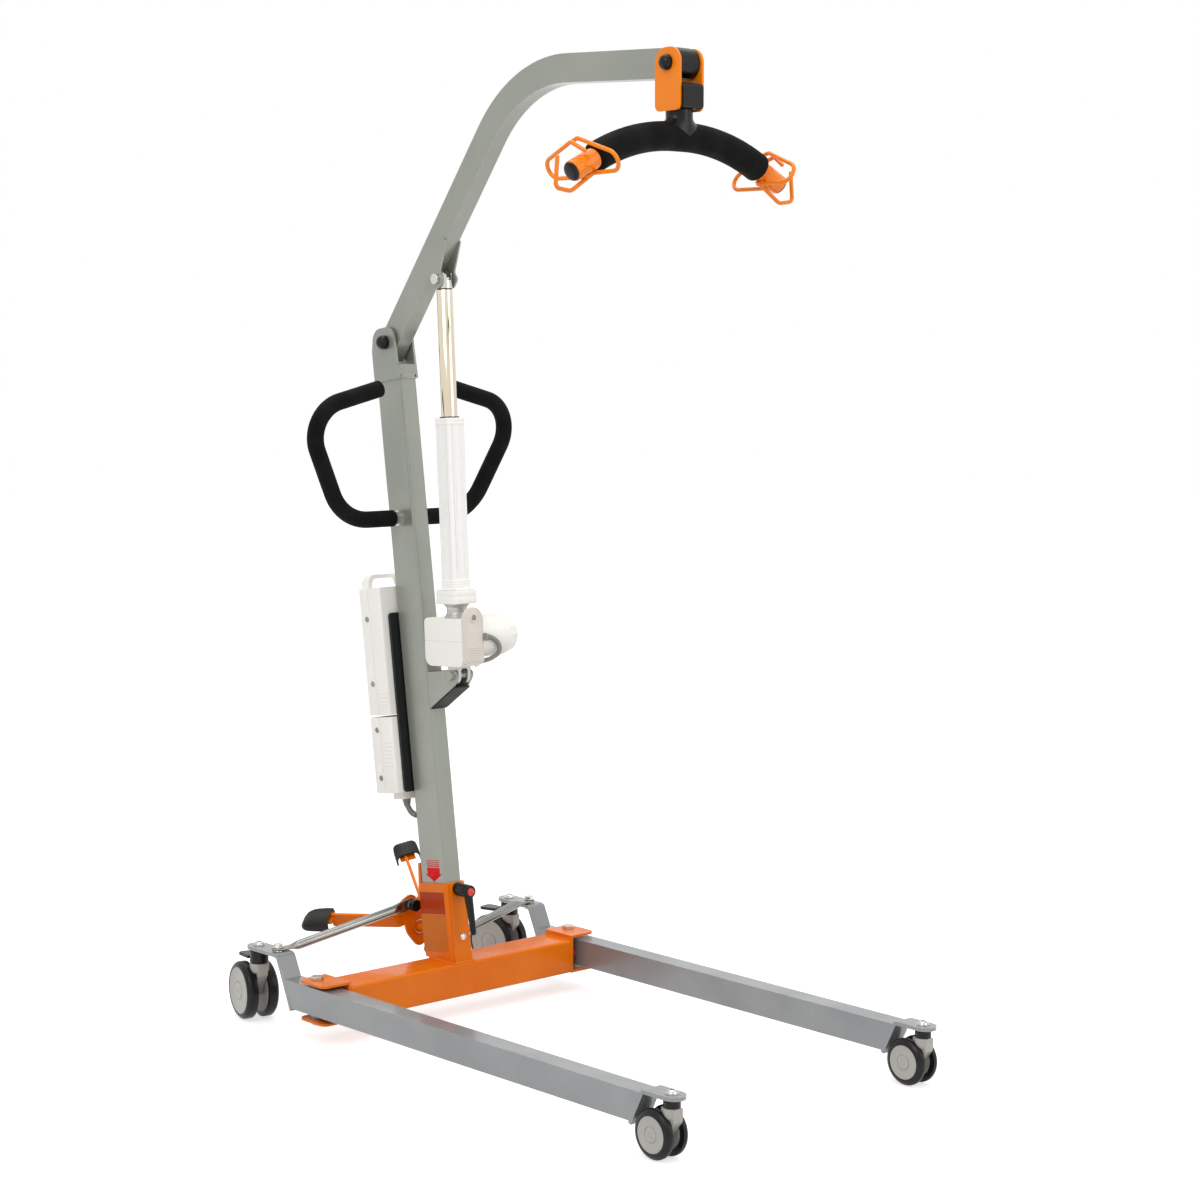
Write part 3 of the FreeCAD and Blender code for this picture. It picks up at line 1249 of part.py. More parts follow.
def strap(made, level, nose, rest):
    """A flat bar that lies on the slanted cut and runs out level over the caster, with a round nose."""
    path = sketch(made, "XZ_Plane")
    draw(path, [(nose, level)] + rest, closed=False)
    profile = sketch(made, "YZ_Plane", nose)
    draw(profile, square("0", level, "leg_wide", "strap_thick"))
    bar = made.newObject("PartDesign::AdditivePipe", "Strap")
    bar.Profile = profile
    bar.Spine = path
    half = "strap_thick / 2"
    disc(made, "XY_Plane", nose, "0", "leg_wide / 2", "%s - %s" % (level, half), "%s + %s" % (level, half))


def leg_bolts(label, side):
    """The tie bolt and the two caster stems with their heads and spacers, as a group."""
    made = body(label, leg_place(side))
    for x, top, low, collar in (("-rear_stem", "rear_strap_top", "rear_fork_top - 24", "rear_fork_top"),
                                ("front_stem", "front_strap_top", "front_fork_top - 24", "front_fork_top")):
        disc(made, "XY_Plane", x, "0", "stem_bolt / 2", low, top)
        hexagon(made, x, "0", "bolt_across", top, top + " + bolt_head")
        disc(made, "XY_Plane", x, "0", "11", collar + " + slack", top + " - strap_thick")
    under = "rear_strap_top - strap_thick"
    disc(made, "XY_Plane", "-tie_bolt_back", "0", "tie_bolt / 2", under, "tie_top")
    disc(made, "XY_Plane", "-tie_bolt_back", "0", "tie_bolt", "rear_strap_top", "rear_strap_top + tie_washer")
    hexagon(made, "-tie_bolt_back", "0", "bolt_across", "tie_top", "tie_top + bolt_head")
    hexagon(made, "-tie_bolt_back", "0", "bolt_across", under + " - bolt_head", under)
    return made


def leg_place(side):
    return Placement(Vector(0, side * V["pivot_out"], 0), Rotation(Vector(0, 0, 1), -side * V["toe_in"]))


# ---------------------------------------------------------------- casters
def caster_place(end, side):
    """A caster's frame: its Z is the swivel axis, its wheel trails along -X."""
    x = V["front_stem"] if end == "front" else -V["rear_stem"]
    turn = side * V["rear_yaw"] if end == "rear" else 0.0
    place = leg_place(side).multiply(Placement(Vector(x, 0, 0), Rotation(Vector(0, 0, 1), turn)))
    return Placement(place.Base, Rotation(Vector(0, 0, 1), turn))


def caster(end, side):
    """A twin-wheel swivel caster: centre fork, two tyres, and the hubs on their axle."""
    name = "%s_%s" % (end, "left" if side > 0 else "right")
    place = caster_place(end, side)
    wheel = "%s_wheel / 2" % end
    axle_x = "-%s_trail" % end
    width = "%s_width / 2" % end
    top = "%s_fork_top" % end
    column = "%s_column / 2" % end
    inner = "fork_wall / 2 + wheel_gap"
    fork = body("fork_" + name, place)
    plate(fork, "XZ_Plane",
          [(column, top), (column, top + " - column_tall", "6"), (axle_x + " + 11", wheel + " - 8", "10"),
           (axle_x, wheel + " - 12", "9"), (axle_x + " - 12", wheel, "9"),
           ("-" + column, top + " - column_tall", "12"), ("-" + column, top)], "-fork_wall / 2", "fork_wall / 2")
    disc(fork, "XY_Plane", "0", "0", column, top + " - column_tall", top)
    for low, high in (("fork_wall / 2", "fork_wall / 2 + 30"), ("-fork_wall / 2 - 30", "-fork_wall / 2")):
        disc(fork, "XZ_Plane", axle_x, wheel, wheel + " + wheel_gap", low, high, "Pocket")
    disc(fork, "XY_Plane", "0", "0", "stem_bolt / 2 + run_fit", top + " - 25", top + " + 1", "Pocket")
    disc(fork, "XZ_Plane", axle_x, wheel, "axle / 2 + run_fit", "-20", "20", "Pocket")
    tyres = body("tyres_" + name, place)
    tyre = sketch(tyres, "XZ_Plane", inner)
    ring(tyre, axle_x, wheel, wheel)
    ring(tyre, axle_x, wheel, wheel + " - tread")
    outer = extrude(tyres, "Pad", tyre, inner, width)
    mirrored(tyres, [outer])
    hubs = body("hubs_" + name, place)
    features = [disc(hubs, "XZ_Plane", axle_x, wheel, wheel + " - tread", inner, width + " - 1.5"),
                disc(hubs, "XZ_Plane", axle_x, wheel, "axle / 2", "-1", inner + " + 1"),
                disc(hubs, "XZ_Plane", axle_x, wheel, wheel + " - tread - 9", width + " - 2", width + " + 1")]
    mirrored(hubs, features)


def brake_lever(side):
    """The foot lever of a rear caster's brake."""
    name = "left" if side > 0 else "right"
    made = body("brake_lever_" + name, caster_place("rear", side))
    plate(made, "XY_Plane", [("-lever_reach", "-16", "8"), ("-24", "-12"), ("-24", "12"),
                             ("-lever_reach", "16", "8")], "rear_wheel + 5", "rear_wheel + 10")
    near = "-rear_column / 2 - 0.5"
    plate(made, "XY_Plane", [("-30", "-6"), (near, "-6"), (near, "6"), ("-30", "6")],
          "rear_wheel - 3", "rear_wheel + 9")
    return made


# ---------------------------------------------------------------- build, check and write
def build_all():
    for make in (cross_beam, mast_socket, pivot_bolts, leg_stops, clamp_lever, mast_tube, head_bracket,
                 head_pin, handle_bar, handle_grips, actuator_bracket, box_plate, control_box, control_lead,
                 battery_case, boom_tube, boom_lugs, lug_bolt, boom_end_cap, hanger_pin, piston_rod,
                 rod_fork, actuator_tube, tube_collar, gearbox_neck, gearbox_cover, side_plate, motor_cover,
                 motor_lead, clevis, hanger_bracket, hanger_block, spreader_neck, spreader_bar, bar_cover,
                 end_sleeves, sling_hooks, pedal_rocker, pedal_pads, rocker_studs):
        make()
    push_rod("push_rod_right", -1, 1)
    push_rod("push_rod_left", 1, -1)
    for name, side in (("right", -1), ("left", 1)):
        leg("leg_" + name, side)
        leg_bolts("leg_bolts_" + name, side)
        caster("front", side)
        caster("rear", side)
        brake_lever(side)


def main():
    build_all()
    document.recompute()
    problems = ["%s %s" % (item.Name, item.State) for item in document.Objects
                if "Invalid" in item.State or "Error" in item.State]
    for made in SUBPARTS:
        if made.Shape.isNull() or not made.Shape.isValid():
            problems.append(made.Label + " has no valid shape")
    if problems:
        raise RuntimeError("; ".join(problems))
    box = FreeCAD.BoundBox()
    for made in SUBPARTS:
        box.add(made.Shape.BoundBox)
    shift = Vector(-(box.XMin + box.XMax) / 2, -(box.YMin + box.YMax) / 2, -box.ZMin)
    os.makedirs("parts", exist_ok=True)
    for made in SUBPARTS:
        made.Placement = Placement(shift, Rotation()).multiply(made.Placement)
        made.Shape.exportStep("parts/%s.step" % made.Label)
    print("%d sub-parts, size %.1f x %.1f x %.1f mm" % (len(SUBPARTS), box.XLength, box.YLength, box.ZLength))
    print("shift %.4f %.4f %.4f" % (shift.x, shift.y, shift.z))


main()
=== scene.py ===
# %% [markdown]
# # A mobile patient lift in paint, steel, foam and rubber
# The engineering model gives true sizes, the joints and the main shapes. This script gives every piece
# the surface that the real one has: rolled edges, weld beads, moulded seams, foam skin, rubber and paint.
# It works in metres, in the frame of the engineering model, and each finished piece rides on its body.

# %% Load the engineering model
import math
import bmesh
import bpy
from mathutils import Matrix, Vector


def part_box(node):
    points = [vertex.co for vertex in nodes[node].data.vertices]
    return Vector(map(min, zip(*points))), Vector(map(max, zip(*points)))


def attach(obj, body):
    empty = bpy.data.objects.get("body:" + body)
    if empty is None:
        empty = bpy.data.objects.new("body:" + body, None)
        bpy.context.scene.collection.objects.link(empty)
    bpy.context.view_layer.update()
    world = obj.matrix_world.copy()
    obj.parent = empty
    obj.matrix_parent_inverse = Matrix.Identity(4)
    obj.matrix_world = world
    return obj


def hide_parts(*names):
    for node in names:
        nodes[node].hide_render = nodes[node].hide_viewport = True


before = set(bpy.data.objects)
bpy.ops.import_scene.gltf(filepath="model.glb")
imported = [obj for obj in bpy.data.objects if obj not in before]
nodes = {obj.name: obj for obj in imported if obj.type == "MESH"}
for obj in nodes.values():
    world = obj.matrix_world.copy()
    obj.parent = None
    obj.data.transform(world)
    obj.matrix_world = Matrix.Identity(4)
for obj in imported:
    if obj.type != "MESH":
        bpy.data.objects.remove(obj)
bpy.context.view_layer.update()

scene = bpy.context.scene

# %% [markdown]
# ## Local frames
# A lift is a chain of leaning tubes. Each is easiest to describe along its own axis, in millimetres, just
# as it was drawn. A frame here is a matrix: it takes such a local point to the scene's metres.

# %% The frames of the leaning members
FOOT_BACK = -312.7095                      # the mast's foot line, behind the middle of the hoist
MM = Matrix.Scale(0.001, 4)


def frame_at(x, z, turn, y=0.0):
    """A frame at a point of the hoist, in millimetres, turned nose-up about the cross direction."""
    return (MM @ Matrix.Translation((x + FOOT_BACK, y, z))
            @ Matrix.Rotation(math.radians(-turn), 4, "Y"))


HOIST = frame_at(0, 0, 0)
MAST = frame_at(0, 0, 7.7)
HANGER = frame_at(578.407, 1587.119, 0)
ACTUATOR = frame_at(36.0, 597.5, 2.9947)
HANDLE = frame_at(-111.15, 862.0, -7.9)
PEDAL_LEVEL, PEDAL_TILT = 137.0, 26                        # the shaft's height; the rocker's turn at rest
PEDAL = (MM @ Matrix.Translation((FOOT_BACK, 0, PEDAL_LEVEL))
         @ Matrix.Rotation(math.radians(PEDAL_TILT), 4, "X"))
ALONG_Y = Matrix.Rotation(math.radians(-90), 4, "X")       # takes the spin axis from Z to +Y
ALONG_X = Matrix.Rotation(math.radians(90), 4, "Y")        # takes it to +X
UP_Y = Matrix.Rotation(math.radians(90), 4, "X")           # takes an outline in X and Z to the side view
FACE_X = Matrix(((0, 0, 1, 0), (1, 0, 0, 0), (0, 1, 0, 0), (0, 0, 0, 1)))   # outline in Y and Z, depth X
MIRROR_Y = Matrix.Scale(-1, 4, (0, 1, 0))
print("mast leans back by", round(math.degrees(MAST.to_euler().y), 2), "degrees")

# %% [markdown]
# ## Helpers for meshes
# Three small helpers do most of the work. One makes a piece from a mesh and puts it on its body. One
# softens a machined part: real plates and tubes never have knife edges, and a thin rolled edge is what
# catches the light. The last spins a profile round an axis, for knobs, tyres and washers.

# %% Put a piece on its body
def piece(name, mesh, body, material, replaced=()):
    """An object at the origin that rides on a body and stands for the named parts."""
    made = bpy.data.objects.new(name, mesh)
    scene.collection.objects.link(made)
    made.data.materials.clear()
    made.data.materials.append(material)
    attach(made, body)
    if replaced:
        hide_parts(*replaced)
    return made


def finished(obj):
    """The mesh of an object with its modifiers applied; the object itself goes."""
    graph = bpy.context.evaluated_depsgraph_get()
    graph.update()
    mesh = bpy.data.meshes.new_from_object(obj.evaluated_get(graph))
    bpy.data.objects.remove(obj)
    return mesh


def mesh_of(bm, name, smooth=35.0):
    """A mesh from an edited one, smooth except at its sharp edges."""
    mesh = bpy.data.meshes.new(name)
    bm.normal_update()
    bm.to_mesh(mesh)
    bm.free()
    mesh.shade_smooth()
    mesh.set_sharp_from_angle(angle=math.radians(smooth))
    return mesh


def rolled(mesh, width, segments=2, angle=32.0):
    """The mesh with every sharp edge rolled to a small radius."""
    obj = bpy.data.objects.new("rolled", mesh)
    scene.collection.objects.link(obj)
    bevel = obj.modifiers.new("roll", "BEVEL")
    bevel.width = width
    bevel.segments = segments
    bevel.limit_method = "ANGLE"
    bevel.angle_limit = math.radians(angle)
    bevel.use_clamp_overlap = True
    bevel.miter_outer = "MITER_ARC"
    weighted = obj.modifiers.new("even", "WEIGHTED_NORMAL")
    weighted.keep_sharp = True
    weighted.weight = 80
    return finished(obj)


def soften(name, width=0.0007, segments=2):
    """A machined part's own mesh, its doubles merged and its sharp edges rolled."""
    bm = bmesh.new()
    bm.from_mesh(nodes[name].data)
    bmesh.ops.remove_doubles(bm, verts=bm.verts, dist=2e-6)
    bmesh.ops.dissolve_limit(bm, angle_limit=math.radians(0.6), verts=bm.verts, edges=bm.edges)
    return rolled(mesh_of(bm, name), width, segments)


def spun(profile, sides=48, close=True):
    """Points of (radius, height) spun round Z: a closed ring, or a body whose profile ends on the axis."""
    bm = bmesh.new()
    rings = []
    for radius, height in profile:
        if radius < 1e-6:
            rings.append([bm.verts.new((0, 0, height))])
        else:
            rings.append([bm.verts.new((radius * math.cos(math.tau * k / sides),
                                        radius * math.sin(math.tau * k / sides), height))
                          for k in range(sides)])
    if close:
        rings.append(rings[0])
    for low, high in zip(rings, rings[1:]):
        for k in range(sides):
            corners = [low[k % len(low)], low[(k + 1) % sides % len(low)],
                       high[(k + 1) % sides % len(high)], high[k % len(high)]]
            unique = list(dict.fromkeys(corners))
            if len(unique) > 2:
                bm.faces.new(unique)
    bmesh.ops.recalc_face_normals(bm, faces=bm.faces)
    return bm


def solid_of(outline, low, high):
    """A slab from an outline in X and Y between two heights."""
    bm = bmesh.new()
    base = bm.faces.new([bm.verts.new((x, y, low)) for x, y in outline])
    top = bmesh.ops.extrude_face_region(bm, geom=[base])["geom"]
    bmesh.ops.translate(bm, vec=(0, 0, high - low),
                        verts=[v for v in top if isinstance(v, bmesh.types.BMVert)])
    bmesh.ops.recalc_face_normals(bm, faces=bm.faces)
    return bm


def rounded(points, radii, steps=6):
    """A closed outline with its corners rounded."""
    made = []
    count = len(points)
    for k in range(count):
        radius = radii[k] if hasattr(radii, "__len__") else radii
        corner = Vector(points[k])
        to_last = (Vector(points[k - 1]) - corner).normalized()
        to_next = (Vector(points[(k + 1) % count]) - corner).normalized()
        half = to_last.angle(to_next) / 2
        if radius <= 0 or abs(half - math.pi / 2) < 0.01:
            made.append(tuple(corner))
            continue
        start = corner + to_last * (radius / math.tan(half))
        centre = corner + (to_last + to_next).normalized() * (radius / math.sin(half))
        turn = math.pi - 2 * half
        side = 1 if to_last.cross(to_next) > 0 else -1
        for step in range(steps + 1):
            arm = (start - centre)
            angle = -side * turn * step / steps
            made.append(tuple(centre + Vector((arm.x * math.cos(angle) - arm.y * math.sin(angle),
                                               arm.x * math.sin(angle) + arm.y * math.cos(angle)))))
    return made


def placed(parts, place):
    """Each of several edited meshes with the same place."""
    return [(bm, place) for bm in parts]


def joined(parts):
    """One mesh from several edited meshes, each with its own place."""
    whole = bmesh.new()
    for bm, place in parts:
        bm.transform(place)
        if place.determinant() < 0:
            bmesh.ops.reverse_faces(bm, faces=bm.faces)
        spare = bpy.data.meshes.new("spare")
        bm.to_mesh(spare)
        bm.free()
        whole.from_mesh(spare)
        bpy.data.meshes.remove(spare)
    return whole


print("helpers ready")

# %% [markdown]
# ## Shared shader groups
# Paint, plastic and steel all share a few effects: a tone that drifts a little, edges rubbed by use and
# painted lighter as a highlight, dust that settles on what faces up, and a fine grain. Each effect is
# built once as a node group, and every material sets its own scale and amount.

# %% A short way to wire nodes
def colour(red, green, blue):
    """A colour written as it is seen on a screen, from 0 to 255."""
    def linear(c):
        """One channel as the renderer counts it, from 0 to 1."""
        c /= 255
        return c / 12.92 if c <= 0.04045 else ((c + 0.055) / 1.055) ** 2.4
    return (linear(red), linear(green), linear(blue), 1.0)


def node(tree, kind, wires=(), **settings):
    """A new node; wires maps its inputs to sockets or to plain values."""
    made = tree.nodes.new(kind)
    for name, value in settings.items():
        setattr(made, name, value)
    for name, value in dict(wires).items():
        if isinstance(value, bpy.types.NodeSocket):
            tree.links.new(value, made.inputs[name])
        else:
            made.inputs[name].default_value = value
    return made


def maths(tree, operation, *values):
    """The result of a sum, a product or a like step on sockets or plain values."""
    made = node(tree, "ShaderNodeMath", dict(enumerate(values)), operation=operation, use_clamp=False)
    return made.outputs[0]


def group(name, inputs, outputs, kind="ShaderNodeTree"):
    """An empty node group with named sockets, and its two end nodes."""
    tree = bpy.data.node_groups.new(name, kind)
    for label, (socket, value) in inputs.items():
        made = tree.interface.new_socket(label, in_out="INPUT", socket_type=socket)
        if value is not None:
            made.default_value = value
    for label, socket in outputs.items():
        tree.interface.new_socket(label, in_out="OUTPUT", socket_type=socket)
    return tree, tree.nodes.new("NodeGroupInput").outputs, tree.nodes.new("NodeGroupOutput").inputs


FLOAT, COLOUR, VECTOR = "NodeSocketFloat", "NodeSocketColor", "NodeSocketVector"


def noise_at(tree, scale, detail=3.0, stretch=None):
    """A noise value on the piece's own coordinates, stretched along its axes if wanted."""
    where = node(tree, "ShaderNodeTexCoord").outputs["Object"]
    if stretch:
        where = node(tree, "ShaderNodeMapping", {"Vector": where, "Scale": stretch}).outputs[0]
    return node(tree, "ShaderNodeTexNoise",
                {"Vector": where, "Scale": scale, "Detail": detail}).outputs["Fac"]


# %% Tone that drifts over a surface
tone, tone_in, tone_out = group(
    "drifting tone", {"Colour": (COLOUR, None), "Shade": (COLOUR, None), "Scale": (FLOAT, 9.0),
                      "Amount": (FLOAT, 0.5)}, {"Colour": COLOUR, "Fac": FLOAT})
broad = noise_at(tone, tone_in["Scale"], 4.0)
drift = node(tone, "ShaderNodeMapRange", {"Value": broad, "From Min": 0.35, "From Max": 0.65}).outputs[0]
amount = maths(tone, "MULTIPLY", drift, tone_in["Amount"])
mixed = node(tone, "ShaderNodeMix", {0: amount, 6: tone_in["Colour"], 7: tone_in["Shade"]}, data_type="RGBA")
tone.links.new(mixed.outputs[2], tone_out["Colour"])
tone.links.new(drift, tone_out["Fac"])

# %% Edges rubbed by use, and edges painted lighter as a highlight
# The Bevel node rounds the normal near an edge; where it differs from the true normal, there is an edge.
wear_and_glint, wear_and_glint_in, wear_and_glint_out = group(
    "edge wear", {"Radius": (FLOAT, 0.0015), "Amount": (FLOAT, 0.5), "Scale": (FLOAT, 60.0)}, {"Mask": FLOAT})
round_normal = node(wear_and_glint, "ShaderNodeBevel", {"Radius": wear_and_glint_in["Radius"]}, samples=4).outputs[0]
true_normal = node(wear_and_glint, "ShaderNodeNewGeometry").outputs["Normal"]
agree = node(wear_and_glint, "ShaderNodeVectorMath", {0: round_normal, 1: true_normal}, operation="DOT_PRODUCT")
edge = node(wear_and_glint, "ShaderNodeMapRange", {"Value": agree.outputs["Value"], "From Min": 0.99, "From Max": 0.82})
edge_patches = node(wear_and_glint, "ShaderNodeMapRange", {"Value": noise_at(wear_and_glint, wear_and_glint_in["Scale"], 5.0),
                                          "From Min": 0.42, "From Max": 0.62})
# The mask is both wear and a painted highlight: the lighter edge colour stands in for light caught by the
# rolled edges.
rubbed_and_lit = maths(wear_and_glint, "MULTIPLY", edge.outputs[0], edge_patches.outputs[0])
wear_and_glint.links.new(maths(wear_and_glint, "MULTIPLY", rubbed_and_lit, wear_and_glint_in["Amount"]), wear_and_glint_out["Mask"])

# %% Dust on what faces up
dust, dust_in, dust_out = group(
    "settled dust", {"Amount": (FLOAT, 0.15), "Scale": (FLOAT, 25.0)}, {"Mask": FLOAT})
normal_parts = node(dust, "ShaderNodeSeparateXYZ", {0: node(dust, "ShaderNodeNewGeometry").outputs["Normal"]})
upward = node(dust, "ShaderNodeMapRange",
              {"Value": normal_parts.outputs[2], "From Min": 0.35, "From Max": 1.0})
patches = node(dust, "ShaderNodeMapRange", {"Value": noise_at(dust, dust_in["Scale"], 6.0),
                                            "From Min": 0.3, "From Max": 0.75})
settled = maths(dust, "MULTIPLY", upward.outputs[0], patches.outputs[0])
dust.links.new(maths(dust, "MULTIPLY", settled, dust_in["Amount"]), dust_out["Mask"])

# %% Fine grain, from sprayed paint to moulded plastic
grain, grain_in, grain_out = group(
    "fine grain", {"Scale": (FLOAT, 900.0), "Coarse": (FLOAT, 120.0), "Share": (FLOAT, 0.3)},
    {"Height": FLOAT})
fine_part = noise_at(grain, grain_in["Scale"], 2.0)
coarse_part = noise_at(grain, grain_in["Coarse"], 2.0)
both_parts = node(grain, "ShaderNodeMix", {0: grain_in["Share"], 2: fine_part, 3: coarse_part},
                  data_type="FLOAT")
grain.links.new(both_parts.outputs[0], grain_out["Height"])

# %% Long scratches of brushed or ground metal
brushed, brushed_in, brushed_out = group(
    "ground metal", {"Scale": (FLOAT, 300.0), "Stretch": (VECTOR, (1.0, 1.0, 0.04))},
    {"Height": FLOAT, "Fac": FLOAT})
place_in = node(brushed, "ShaderNodeTexCoord").outputs["Object"]
drawn = node(brushed, "ShaderNodeMapping", {"Vector": place_in, "Scale": brushed_in["Stretch"]}).outputs[0]
lines = node(brushed, "ShaderNodeTexNoise", {"Vector": drawn, "Scale": brushed_in["Scale"], "Detail": 4.0})
brushed.links.new(lines.outputs["Fac"], brushed_out["Height"])
scratch = node(brushed, "ShaderNodeMapRange",
               {"Value": lines.outputs["Fac"], "From Min": 0.3, "From Max": 0.7})
brushed.links.new(scratch.outputs[0], brushed_out["Fac"])

# %% Skin of closed-cell foam: small pores of many sizes
foam, foam_in, foam_out = group(
    "foam skin", {"Scale": (FLOAT, 420.0), "Pores": (FLOAT, 0.5)}, {"Height": FLOAT, "Pore": FLOAT})
where_in = node(foam, "ShaderNodeTexCoord").outputs["Object"]
cells = node(foam, "ShaderNodeTexVoronoi",
             {"Vector": where_in, "Scale": foam_in["Scale"]}).outputs["Distance"]
wide_scale = maths(foam, "MULTIPLY", foam_in["Scale"], 0.37)
wide = node(foam, "ShaderNodeTexVoronoi", {"Vector": where_in, "Scale": wide_scale}).outputs["Distance"]
both = maths(foam, "MULTIPLY", cells, maths(foam, "ADD", wide, foam_in["Pores"]))
soft_noise = noise_at(foam, 70.0, 3.0)
foam.links.new(maths(foam, "ADD", both, maths(foam, "MULTIPLY", soft_noise, 0.6)), foam_out["Height"])
# Pores are painted darker: painted shade in the skin's hollows.
pore = node(foam, "ShaderNodeMapRange", {"Value": both, "From Min": 0.02, "From Max": 0.22})
foam.links.new(pore.outputs[0], foam_out["Pore"])
print("shader groups:", [g.name for g in bpy.data.node_groups])

# %% [markdown]
# ## Materials
# Every finish on the hoist is one call below. A material mixes its tone, lets the edge mask show what is
# under the coating and paint a highlight along the edges, lays dust over it, and takes its roughness and
# a small bump from the same masks, so that colour and relief agree.

# %% One builder for all finishes
def finish(name, base, shade, rough, metal=0.0, coat=0.0, coat_rough=0.1, tone_scale=9.0, tone_amount=0.6,
           worn_and_lit=None, wear_and_glint_amount=0.5, wear_and_glint_radius=0.0015, dusty=0.1, grain_scale=900.0, coarse=120.0,
           share=0.3, bump=0.15, depth=0.00008, rough_spread=0.12, relief="fine grain",
           relief_values=None, sheen=0.0, specular=0.5, slot=None):
    """A procedural finish. Constant values sit on the shader's own sockets."""
    material = bpy.data.materials.new(name.replace("_", " "))
    material["slot"] = slot or name
    material.use_nodes = True
    tree = material.node_tree
    shader = tree.nodes["Principled BSDF"]
    drift = node(tree, "ShaderNodeGroup", node_tree=tone)
    drift.inputs["Colour"].default_value = base
    drift.inputs["Shade"].default_value = shade
    drift.inputs["Scale"].default_value = tone_scale
    drift.inputs["Amount"].default_value = tone_amount
    result = drift.outputs["Colour"]
    roughness = maths(tree, "ADD", rough - rough_spread / 2,
                      maths(tree, "MULTIPLY", drift.outputs["Fac"], rough_spread))
    # Edges take the edge colour: wear, and on the paints also a painted highlight.
    if worn_and_lit:
        edges = node(tree, "ShaderNodeGroup", node_tree=wear_and_glint)
        edges.inputs["Radius"].default_value = wear_and_glint_radius
        edges.inputs["Amount"].default_value = wear_and_glint_amount
        result = node(tree, "ShaderNodeMix", {0: edges.outputs["Mask"], 6: result, 7: worn_and_lit},
                      data_type="RGBA").outputs[2]
        roughness = maths(tree, "ADD", roughness, maths(tree, "MULTIPLY", edges.outputs["Mask"], 0.1))
    if dusty:
        laid = node(tree, "ShaderNodeGroup", node_tree=dust)
        laid.inputs["Amount"].default_value = dusty
        result = node(tree, "ShaderNodeMix", {0: laid.outputs["Mask"], 6: result, 7: colour(196, 190, 180)},
                      data_type="RGBA").outputs[2]
        roughness = maths(tree, "ADD", roughness, maths(tree, "MULTIPLY", laid.outputs["Mask"], 0.5))
    height = node(tree, "ShaderNodeGroup", node_tree=bpy.data.node_groups[relief])
    values = relief_values or {"Scale": grain_scale, "Coarse": coarse, "Share": share}
    for label, value in values.items():
        height.inputs[label].default_value = value
    # The foam's hollows take the darker colour as painted shade.
    if relief == "foam skin":
        result = node(tree, "ShaderNodeMix", {0: height.outputs["Pore"], 6: shade, 7: result},
                      data_type="RGBA").outputs[2]
    lift = node(tree, "ShaderNodeBump", {"Strength": bump, "Distance": depth,
                                         "Height": height.outputs["Height"]})
    tree.links.new(result, shader.inputs["Base Color"])
    tree.links.new(roughness, shader.inputs["Roughness"])
    tree.links.new(lift.outputs[0], shader.inputs["Normal"])
    shader.inputs["Metallic"].default_value = metal
    shader.inputs["Coat Weight"].default_value = coat
    shader.inputs["Coat Roughness"].default_value = coat_rough
    shader.inputs["Specular IOR Level"].default_value = specular
    shader.inputs["Sheen Weight"].default_value = sheen
    return material


# %% The finishes of the hoist
# The paler edge colour of the orange and grey paints is a painted highlight on the rolled edges as well as
# wear.
orange_paint = finish("orange_paint", colour(234, 118, 0), colour(220, 102, 0), 0.26, coat=0.15,
                      coat_rough=0.05, specular=0.14, worn_and_lit=colour(246, 170, 70), wear_and_glint_amount=0.5,
                      wear_and_glint_radius=0.0010, dusty=0.0, bump=0.10)
hook_orange = finish("hook_orange", colour(252, 140, 6), colour(246, 122, 2), 0.22, coat=0.25,
                     coat_rough=0.05, specular=0.2, worn_and_lit=colour(255, 190, 96), wear_and_glint_amount=0.5,
                     wear_and_glint_radius=0.0010, dusty=0.0, bump=0.08, slot="orange_paint")
grey_paint = finish("grey_paint", colour(152, 155, 144), colour(140, 144, 135), 0.32, metal=0.35,
                    coat=0.45, coat_rough=0.09, worn_and_lit=colour(206, 208, 202), wear_and_glint_amount=0.7,
                    dusty=0.03, grain_scale=1400, bump=0.15)
# The legs take a darker, cooler copy of the grey paint: its darkness is painted shade on their sides.
leg_grey_painted_shade = finish("leg_grey_painted_shade", colour(140, 142, 143), colour(127, 129, 131), 0.32, metal=0.35,
                  coat=0.45, coat_rough=0.09, worn_and_lit=colour(200, 202, 202), wear_and_glint_amount=0.7,
                  dusty=0.03, grain_scale=1400, bump=0.15, slot="grey_paint")
black_foam = finish("black_foam", colour(19, 18, 17), colour(10, 10, 9), 0.80, dusty=0.0, specular=0.12,
                    relief="foam skin", relief_values={"Scale": 460.0, "Pores": 0.5}, bump=0.5,
                    depth=0.0005, tone_scale=30.0)
cream_plastic = finish("cream_plastic", colour(248, 246, 240), colour(243, 240, 233), 0.40, dusty=0.03,
                       grain_scale=1500, bump=0.2, worn_and_lit=colour(250, 249, 245), wear_and_glint_amount=0.5)
housing_paint = finish("housing_paint", colour(253, 252, 249), colour(249, 247, 243), 0.28, coat=0.3,
                       dusty=0.02, bump=0.06, worn_and_lit=colour(252, 251, 249))
box_plastic = finish("box_plastic", colour(249, 246, 241), colour(243, 240, 234), 0.46, dusty=0.03,
                     grain_scale=1100, bump=0.25, worn_and_lit=colour(252, 250, 247), wear_and_glint_amount=0.5)
dark_plate = finish("dark_plate", colour(10, 20, 18), colour(6, 13, 12), 0.35, coat=0.2, dusty=0.02,
                    specular=0.35, worn_and_lit=colour(48, 64, 58))
bright_steel = finish("bright_steel", colour(214, 212, 207), colour(186, 184, 179), 0.24, metal=1.0,
                      dusty=0.0, worn_and_lit=colour(240, 239, 236), relief="ground metal",
                      relief_values={"Scale": 500.0, "Stretch": (1.0, 1.0, 0.2)}, bump=0.12, rough_spread=0.1)
